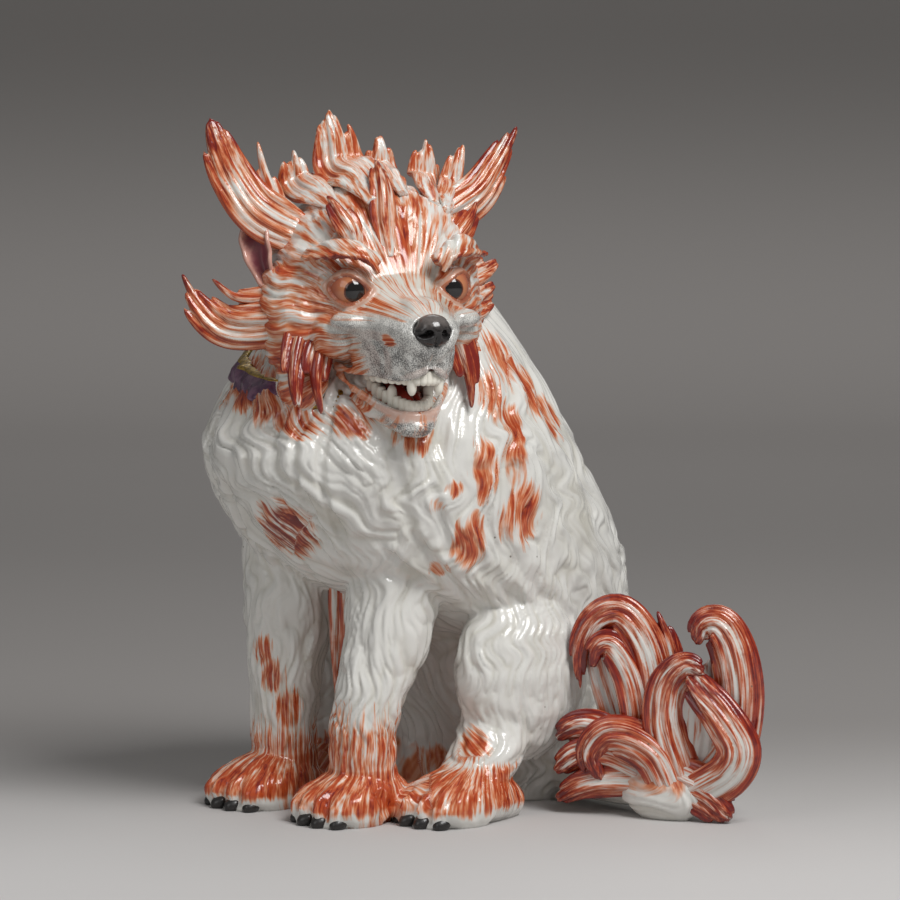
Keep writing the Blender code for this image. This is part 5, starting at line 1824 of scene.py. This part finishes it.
@dataclass
class LockBuilder:
    """Models locks as flames of flat strands that part towards their ends, fused under one skin."""

    facing: Array
    rings: int = 36
    sides: int = 12
    strand_pitch: float = 6.0
    overlap: float = 1.75
    fineness: float = 0.75 * MM
    softening: int = 2
    stroke_width: float = 1.9 * MM
    stroke_length: float = 24 * MM
    stops: int = 90

    COUNTS = (3, 8)
    SEED_START = 1000
    SEED_STEP = 7.0
    STRAND_END = 0.34
    GROUND = 0.5 * MM

    def sheets(self, count: int) -> Mesh:
        """Flat grids that will be rolled into strands, one above the other.

        Args:
            count: How many strands there are.

        Returns:
            A mesh whose x goes round each strand, y along it, and z tells which strand it is.
        """
        shape = bmesh.new()
        for number in range(count):
            bmesh.ops.create_grid(shape, x_segments=self.sides, y_segments=self.rings, size=1,
                                  matrix=Matrix.Translation((0, 0, number)))
        return as_mesh("lock", shape)

    @staticmethod
    def taper(share: Array, blunt: float) -> Array:
        """Size along a lock or strand, as a share of its full size; a smaller power is blunter."""
        fullness = 0.8 + 0.8 * share * (0.4 + 0.85 * blunt)
        return 0.05 + 0.95 * np.clip(1 - share, 0, 1) ** blunt * fullness

    def course(self, path: Sequence[Array], share: Array
               ) -> tuple[Array, Array, Array]:
        """Middle line of a lock with its sideways and raised directions.

        Args:
            path: Points that the lock goes through.
            share: Places along it, from 0 to 1.

        Returns:
            Middles, sideways directions and raised directions.
        """
        middle = spline(path, share)
        step = 0.01
        ahead = spline(path, np.minimum(share + step, 1)) - spline(path, np.maximum(share - step, 0))
        across = unit(np.cross(ahead, self.facing))
        return middle, across, unit(np.cross(across, ahead))

    def model(self, lock: Lock, path: Sequence[Array]) -> Mesh:
        """Models one lock.

        Args:
            lock: The lock.
            path: Its path in the figure's frame.

        Returns:
            A closed mesh with its brush layers.
        """
        style: LockStyle = lock.kind.value
        rng = np.random.default_rng(self.SEED_START + lock.seed)
        half_width, half_depth = lock.half_width * MM, lock.half_depth * MM
        count = int(np.clip(round(2 * lock.half_width / self.strand_pitch), *self.COUNTS))
        mesh = self.sheets(count)
        sheet = coordinates(mesh)
        number = np.rint(sheet[:, 2]).astype(int)
        turn = (sheet[:, 0] + 1) * math.pi
        share = (sheet[:, 1] + 1) / 2
        seats = np.linspace(-1, 1, count)
        ends = 1 - style.fray * np.abs(seats) ** 1.3 * rng.uniform(0.3, 1, count)
        lifts = rng.uniform(-0.22, 0.22, count) + 0.25 * (1 - seats**2)
        phases = rng.uniform(0, 2 * math.pi, count)
        seat, end, lift, phase = (values[number] for values in (seats, ends, lifts, phases))
        along = share * end
        middle, across, rise = self.course(path, along)
        outline = self.taper(along, style.blunt)
        if lock.leads:
            outline = outline * (0.3 + 0.7 * ease(0, 0.35, along))
        strand = self.taper(share, self.STRAND_END)
        wide = self.overlap * half_width / count * strand * (0.25 + 0.75 * outline)
        deep = 0.8 * half_depth * np.sqrt(1 - 0.7 * seat**2) * strand * np.sqrt(outline)
        sway = 0.10 * np.sin(phase + 6 * share) * share * (1.2 - share)
        flare = 0.35 * seat * share**3 * (1 - end)
        aside = half_width * (seat * (1 - 1 / count) * outline + sway + flare)
        height = half_depth * lift * outline + np.sin(turn) * deep
        points = middle + across * (aside + np.cos(turn) * wide)[:, None] + rise * height[:, None]
        points[:, 2] = np.maximum(points[:, 2], self.GROUND)
        reshape(mesh, points)
        skin = fused(self.close(mesh), self.fineness, self.softening)
        self.dress(skin, lock, path, count)
        return skin

    def dress(self, mesh: Mesh, lock: Lock, path: Sequence[Array], count: int) -> None:
        """Stores the brush layers of a lock, by each vertex's place along and across it.

        Args:
            mesh: The lock's skin.
            lock: The lock.
            path: Its path in the figure's frame.
            count: How many strands it has.
        """
        style: LockStyle = lock.kind.value
        points = coordinates(mesh)
        shares = np.linspace(0, 1, self.stops)
        middles, across, rise = self.course(path, shares)
        nearest = np.zeros(len(points), dtype=int)
        gap = np.full(len(points), np.inf)
        for number, middle in enumerate(middles):
            distance = np.linalg.norm(points - middle, axis=1)
            nearest = np.where(distance < gap, number, nearest)
            gap = np.minimum(distance, gap)
        offset = points - middles[nearest]
        aside = np.sum(offset * across[nearest], axis=1)
        height = np.sum(offset * rise[nearest], axis=1)
        along = shares[nearest]
        breadth = aside / (lock.half_width * MM * self.taper(along, style.blunt))
        strand = (breadth / (1 - 1 / count) + 1) / 2 * (count - 1)
        length = np.linalg.norm(np.diff(np.array(path), axis=0), axis=1).sum()
        comb = np.stack((aside / self.stroke_width, height / self.stroke_width + self.SEED_STEP * lock.seed,
                         along * length / self.stroke_length), axis=1)
        red = graded(style.red, along)
        red = red + style.edge * (np.minimum(breadth**2, 1.2) - 0.4)
        dark = graded(style.dark, along)
        paint(mesh, comb=comb, red=red, dark=dark, slate=0 * red, flesh=0 * red,
              groove=0.9 * np.abs(2 * (strand - np.rint(strand))) ** 3)

    @staticmethod
    def close(mesh: Mesh) -> Mesh:
        """Welds the seam of each rolled strand and caps its ends."""
        shape = bmesh.new()
        shape.from_mesh(mesh)
        bpy.data.meshes.remove(mesh)
        bmesh.ops.remove_doubles(shape, verts=shape.verts, dist=0.002 * MM)
        rim = [edge for edge in shape.edges if edge.is_boundary]
        bmesh.ops.holes_fill(shape, edges=rim, sides=0)
        bmesh.ops.recalc_face_normals(shape, faces=shape.faces)
        return as_mesh("lock", shape)


SKULL_REACH = 62
HEAD_HALF_WIDTH = 66
HEAD_RISE = 60
ROOT_SINK = 9
LEAD_SINK = 3
LEAD_LIFT = 1.5
LEAD_MIDDLE = 0.45


def on_skull(place: Array, lift: float) -> Array:
    """The point of the skull's top above a place in millimetres, raised by a lift."""
    ahead, left, _ = place
    share = 1 - (ahead / SKULL_REACH) ** 2 - (left / HEAD_HALF_WIDTH) ** 2
    return np.array((ahead, left, HEAD_RISE * math.sqrt(share) + lift))


def head_lock(node: str, kind: LockKind, root: Triple, steps: Sequence[Triple], half_width: float,
              half_depth: float, seed: int, lead: Triple | None = None) -> Lock:
    """A lock of the head, given by its root and the way from it.

    Args:
        node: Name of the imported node.
        kind: Kind of lock.
        root: Root as shares of the skull's reach, half width and rise.
        steps: Places after the root, in millimetres ahead, to the left and up from it.
        half_width: Half width in millimetres.
        half_depth: Half depth in millimetres.
        seed: Seed of its strands.
        lead: Way from the root to where the lock first rises from the head, or None for straight in.

    Returns:
        The lock, with its path in the head's frame.
    """
    start = np.array(root) * (SKULL_REACH, HEAD_HALF_WIDTH, HEAD_RISE)
    first = start
    inner = start + lead if lead else start - unit(start) * ROOT_SINK
    if lead and kind is LockKind.CROWN:
        first = on_skull(start + LEAD_MIDDLE * np.array(lead), LEAD_LIFT)
        inner = on_skull(inner, -LEAD_SINK)
    path = tuple(tuple(place) for place in (inner, first, *(start + np.array(step) for step in steps)))
    return Lock(node, kind, path, half_width, half_depth, seed, bool(lead))


HEAD_LOCKS = (
    head_lock("horn_lock_right", LockKind.HORN, (0.08, -0.76, 0.45),
              ((-3, -26, 14), (-10, -39, 34), (-13, -48, 56), (-15, -52, 72)), 18, 10, 1, (28, 14, -4)),
    head_lock("horn_spike_right", LockKind.CROWN, (0.00, -0.94, 0.68),
              ((-2, -4, 13), (-4, -8, 27), (-6, -11, 43)), 8, 6, 2),
    head_lock("horn_lock_left", LockKind.HORN, (0.08, 0.65, 0.56),
              ((-6, 16, 8), (-10, 31, 18), (-16, 47, 37), (-20, 61, 59)), 17, 10, 3, (28, -15, -5)),
    head_lock("crown_lock_centre", LockKind.CROWN, (-0.24, -0.20, 0.84),
              ((-2, -2, 18), (-5, -4, 36), (-7, -7, 52)), 20, 9, 4, (48, 2, 0)),
    head_lock("crown_lock_right", LockKind.CROWN, (-0.29, -0.61, 0.76),
              ((-1, -1, 12), (-2, -3, 22), (-2, -4, 32)), 15, 8, 5, (40, 7, 0)),
    head_lock("crown_lock_left", LockKind.CROWN, (-0.35, 0.21, 0.86),
              ((-1, 0, 14), (-2, 0, 25), (-3, 0, 36)), 13, 8, 6, (46, -3, 0)),
    head_lock("crown_lock_side", LockKind.CROWN, (-0.29, 0.62, 0.74),
              ((-1, 1, 14), (-2, 2, 27), (-2, 3, 39)), 14, 8, 7, (40, -8, 0)),
    head_lock("crown_lock_outer", LockKind.CROWN, (-0.16, 0.80, 0.62),
              ((-1, 5, 16), (-3, 9, 31), (-5, 13, 45)), 12, 8, 8, (32, -13, 0)),
    head_lock("forelock", LockKind.FLICK, (0.60, -0.10, 0.56),
              ((-6, 1, 18), (-15, 2, 30), (-23, 3, 38)), 9, 6, 9, (9, 0, -20)),
    head_lock("brow_flick_right", LockKind.FLICK, (0.66, -0.45, 0.50),
              ((-4, -4, 8), (-8, -8, 15), (-12, -11, 21)), 9, 6, 10, (4, 4, -14)),
    head_lock("brow_flick_left", LockKind.FLICK, (0.40, 0.72, 0.42),
              ((-4, 6, 6), (-8, 12, 12), (-12, 17, 20)), 10, 6, 11, (6, -6, -12)),
    head_lock("cheek_lock_right", LockKind.CHEEK, (0.36, -0.80, -0.35),
              ((-14, -22, -8), (-28, -42, -8), (-36, -57, 6), (-40, -66, 24)), 16, 9, 12),
    head_lock("cheek_lock_right_upper", LockKind.CHEEK, (0.25, -0.86, -0.14),
              ((-10, -18, -4), (-20, -33, -3), (-28, -44, 8)), 8, 6, 13),
    head_lock("cheek_lock_left_upper", LockKind.CHEEK, (0.16, 0.84, -0.04),
              ((-6, 10, 1), (-12, 21, 4), (-18, 33, 10)), 13, 8, 14),
    head_lock("cheek_lock_left_middle", LockKind.CHEEK, (0.19, 0.84, -0.22),
              ((-5, 9, 0), (-10, 18, 2), (-16, 29, 7)), 12, 8, 15),
    head_lock("cheek_lock_left_lower", LockKind.CHEEK, (0.22, 0.82, -0.40),
              ((-4, 9, 0), (-9, 17, 2), (-14, 27, 6)), 11, 8, 16),
    head_lock("jowl_lock_right_outer", LockKind.JOWL, (0.45, -0.86, -0.58),
              ((6, -6, -14), (13, -9, -30), (18, -8, -50)), 12, 8, 17),
    head_lock("jowl_lock_right_inner", LockKind.JOWL, (0.58, -0.74, -0.72),
              ((5, -4, -12), (8, -4, -24), (10, -2, -38)), 10, 7, 18),
    head_lock("jowl_lock_left", LockKind.JOWL, (0.76, 0.56, -0.60),
              ((4, 4, -14), (7, 6, -28), (8, 7, -44)), 10, 7, 19),
)

TAIL_LOCKS = (
    Lock("tail_leaf_left", LockKind.LEAF, ((76, -2, -4), (72, -5, 26), (63, -10, 60), (57, -16, 90),
         (53, -20, 102)), 28, 7, 31),
    Lock("tail_leaf_right", LockKind.LEAF, ((108, 8, -3), (116, 9, 27), (118, 8, 56), (117, 8, 82)),
         26, 7, 32),
    Lock("tail_lock_scroll", LockKind.TAIL, ((67, -6, 3), (76, -5, 29), (82, -7, 58), (77, -12, 88),
         (65, -20, 106), (52, -28, 102), (44, -34, 84), (44, -35, 57)), 14, 9, 33),
    Lock("tail_lock_scroll_inner", LockKind.TAIL, ((73, -15, 8), (77, -16, 40), (73, -20, 68),
         (64, -27, 86), (57, -33, 84), (55, -36, 72)), 12, 8, 34),
    Lock("tail_lock_spike", LockKind.TAIL, ((84, -2, 10), (88, 0, 37), (88, 2, 60), (85, 2, 85),
         (78, -2, 108)), 10, 7, 35),
    Lock("tail_lock_tall", LockKind.TAIL, ((109, 8, 2), (126, 14, 23), (133, 15, 54), (133, 11, 83),
         (126, 6, 101), (117, 1, 101), (114, -2, 89)), 17, 9, 36),
    Lock("tail_lock_middle", LockKind.TAIL, ((110, -4, -5), (103, -9, 17), (97, -13, 42), (99, -12, 64),
         (110, -8, 76), (122, -3, 72)), 15, 9, 37),
    Lock("tail_lock_low", LockKind.TAIL, ((101, -13, 2), (94, -19, 20), (80, -27, 30), (66, -34, 30),
         (58, -38, 18), (64, -35, 2)), 15, 9, 38),
    Lock("tail_lock_tip", LockKind.TAIL, ((90, -8, 6), (108, -6, 3), (123, -1, -4), (137, 6, -18)),
         18, 10, 39),
    Lock("tail_lock_front", LockKind.TAIL, ((116, -4, -3), (137, 2, 11), (145, 3, 28), (135, -2, 48),
         (120, -6, 63), (111, -8, 72)), 15, 9, 40),
    Lock("tail_lock_fan_upper", LockKind.TAIL, ((75, -18, 18), (60, -29, 31), (45, -38, 34),
         (31, -44, 26)), 13, 8, 41),
    Lock("tail_lock_fan_middle", LockKind.TAIL, ((80, -18, 9), (64, -31, 18), (47, -41, 17),
         (32, -46, 5)), 12, 8, 42),
    Lock("tail_lock_fan_lower", LockKind.TAIL, ((80, -18, 2), (64, -31, 2), (49, -40, -2),
         (33, -46, -12)), 11, 7, 43),
)
TAIL_ROOT = (72, 104, 20)


@dataclass
class Hair:
    """Every modelled lock of the head, tail and belly."""

    belly_top: Triple = (0, -31, 137)
    belly_hang: float = 70
    belly_half: tuple[float, float] = (9, 7.2)

    def build_head(self) -> None:
        """The frill of locks round the head."""
        builder = LockBuilder(HEAD.ahead)
        for lock in HEAD_LOCKS:
            self.place(lock, builder.model(lock, mirrored(lock.path, 1)))

    def build_tail(self) -> None:
        """The curled locks of the tail."""
        builder = LockBuilder(unit(np.array((1.0, -1.0, 0.0))))
        for lock in TAIL_LOCKS:
            path = [layout(*(np.array(TAIL_ROOT) + place)) for place in lock.path]
            self.place(lock, builder.model(lock, path))

    def build_belly(self) -> None:
        """The lock that hangs from the chest between the forelegs."""
        across, back, height = self.belly_top
        drops = (-ROOT_SINK, 0, 0.5 * self.belly_hang, self.belly_hang)
        path = tuple((across, back, height - drop) for drop in drops)
        lock = Lock("belly_lock", LockKind.BELLY, path, *self.belly_half, seed=51)
        builder = LockBuilder(np.array((0.0, -1.0, 0.0)))
        self.place(lock, builder.model(lock, [layout(*place) for place in lock.path]))

    @staticmethod
    def place(lock: Lock, mesh: Mesh) -> None:
        """Puts a modelled lock on the figure in its finish."""
        show("hair_" + lock.node, mesh, lock.kind.value.finish, (lock.node,))


# Studio

@dataclass(frozen=True)
class Paper(Finish):
    """Paper painted with light and shade: pale where it is lit in front of the figure, grey behind it and
    darker up the backdrop.
    """

    away: Vector
    name: str = "studio_paper"
    lit_floor: Colour = (0.60, 0.585, 0.575)
    shaded_floor: Colour = (0.32, 0.303, 0.292)
    lit_backdrop: Colour = (0.53, 0.502, 0.484)
    shaded_backdrop: Colour = (0.26, 0.246, 0.235)

    FLOOR_FADE = (-0.25, 0.42)
    BACK_FADE = (1.3, 3.0)
    HEIGHT_FADE = (0.06, 0.48)

    def inputs(self, build: Nodes) -> dict:
        """The painted light and shade of floor and backdrop, by depth away from the camera and by height.

        Args:
            build: Builder of the tree.

        Returns:
            The shader's inputs.
        """
        sides = {0: build.place, 1: self.away}
        depth = build.add("ShaderNodeVectorMath", sides, operation="DOT_PRODUCT").outputs["Value"]
        depth = build.plus(build.noise(3, 3), 0.06, depth)
        height = build.add("ShaderNodeSeparateXYZ", {0: build.place}).outputs["Z"]
        paper = build.mix(build.step(height, *self.HEIGHT_FADE), rgba(self.lit_backdrop),
                          rgba(self.shaded_backdrop))
        ground = build.mix(build.step(depth, *self.FLOOR_FADE), rgba(self.lit_floor),
                           rgba(self.shaded_floor))
        return {"Base Color": build.mix(build.step(depth, *self.BACK_FADE), ground, paper),
                "Roughness": 0.8, "Specular IOR Level": 0.2}


@dataclass
class Studio:
    """Floor, backdrop, lamps and camera."""

    lens: float = 188.98
    floor_front: float = 2.4
    half_run: float = 4.0
    bend_start: float = 2.6
    bend_radius: float = 1.0
    half_breadth: float = 4.0

    CAMERA = ((0.6691, -0.0712, 0.7397, 2.1766), (0.7431, 0.0641, -0.6661, -1.9781),
              (0.0, 0.9954, 0.0958, 0.5094), (0.0, 0.0, 0.0, 1.0))

    def camera(self) -> None:
        """Sets the camera at the photograph's angle."""
        data = bpy.data.cameras.new("camera")
        data.lens = self.lens
        data.sensor_width = 36
        data.clip_end = 50
        item = bpy.data.objects.new("camera", data)
        item.matrix_world = Matrix(self.CAMERA)
        bpy.context.scene.collection.objects.link(item)
        bpy.context.scene.camera = item

    def sweep(self) -> None:
        """A floor that turns up into a backdrop behind the figure, painted pale in front and darker behind
        as painted light and shade.
        """
        shape = bmesh.new()
        bmesh.ops.create_grid(shape, x_segments=2, y_segments=48, size=1)
        away = Vector((-self.CAMERA[0][2], -self.CAMERA[1][2], 0)).normalized()
        aside = Vector((away.y, -away.x, 0))
        for vert in shape.verts:
            run = (vert.co.y + 1) * self.half_run - self.floor_front
            past = max(run - self.bend_start, 0)
            turn = min(past / self.bend_radius, math.pi / 2)
            climb = max(past - self.bend_radius * math.pi / 2, 0)
            depth = min(run, self.bend_start) + self.bend_radius * math.sin(turn)
            height = self.bend_radius * (1 - math.cos(turn)) + climb
            vert.co = aside * (vert.co.x * self.half_breadth) + away * depth + Vector((0, 0, height))
        mesh = as_mesh("floor", shape)
        mesh.materials.append(Paper(away).material())
        floor = bpy.data.objects.new("floor", mesh)
        bpy.context.scene.collection.objects.link(floor)

    @staticmethod
    def lamp(name: str, place: Triple, aim: Triple, size: float, power: float) -> None:
        """Adds a soft square lamp.

        Args:
            name: Name of the lamp.
            place: Where it hangs.
            aim: What it points at.
            size: Its width.
            power: Its power in watts.
        """
        data = bpy.data.lights.new(name, "AREA")
        data.energy = power
        data.size = size
        item = bpy.data.objects.new(name, data)
        item.location = place
        item.rotation_euler = (Vector(aim) - Vector(place)).to_track_quat("-Z", "Y").to_euler()
        bpy.context.scene.collection.objects.link(item)

    def light(self) -> None:
        """Soft lamps round the figure and a plain grey world."""
        middle = (0, 0, 0.2)
        self.lamp("key_lamp", (1.8, -0.1, 2.3), middle, 1.3, 66)
        self.lamp("fill_lamp", (0.2, -2.4, 1.5), middle, 1.4, 8)
        self.lamp("back_lamp", (-1.2, 1.2, 1.9), middle, 1.0, 4)
        world = bpy.data.worlds.new("studio")
        world.use_nodes = True
        back = world.node_tree.nodes["Background"]
        back.inputs["Color"].default_value = rgba((0.55, 0.55, 0.55))
        back.inputs["Strength"].default_value = 0.31
        bpy.context.scene.world = world

    def build(self) -> None:
        """Makes the whole studio."""
        self.camera()
        self.sweep()
        self.light()


def main() -> None:
    """Builds the studio and every piece of the figure."""
    logging.basicConfig(level=logging.INFO, format="%(name)s %(message)s")
    bpy.context.scene.view_settings.view_transform = "Standard"
    Studio().build()
    Coat().build()
    Head().build()
    for section in (Eyes(), Nose(), Mouth(), Ears(), Claws(), Collar()):
        section.build()
    hair = Hair()
    hair.build_head()
    hair.build_tail()
    hair.build_belly()


if __name__ == "__main__":
    main()
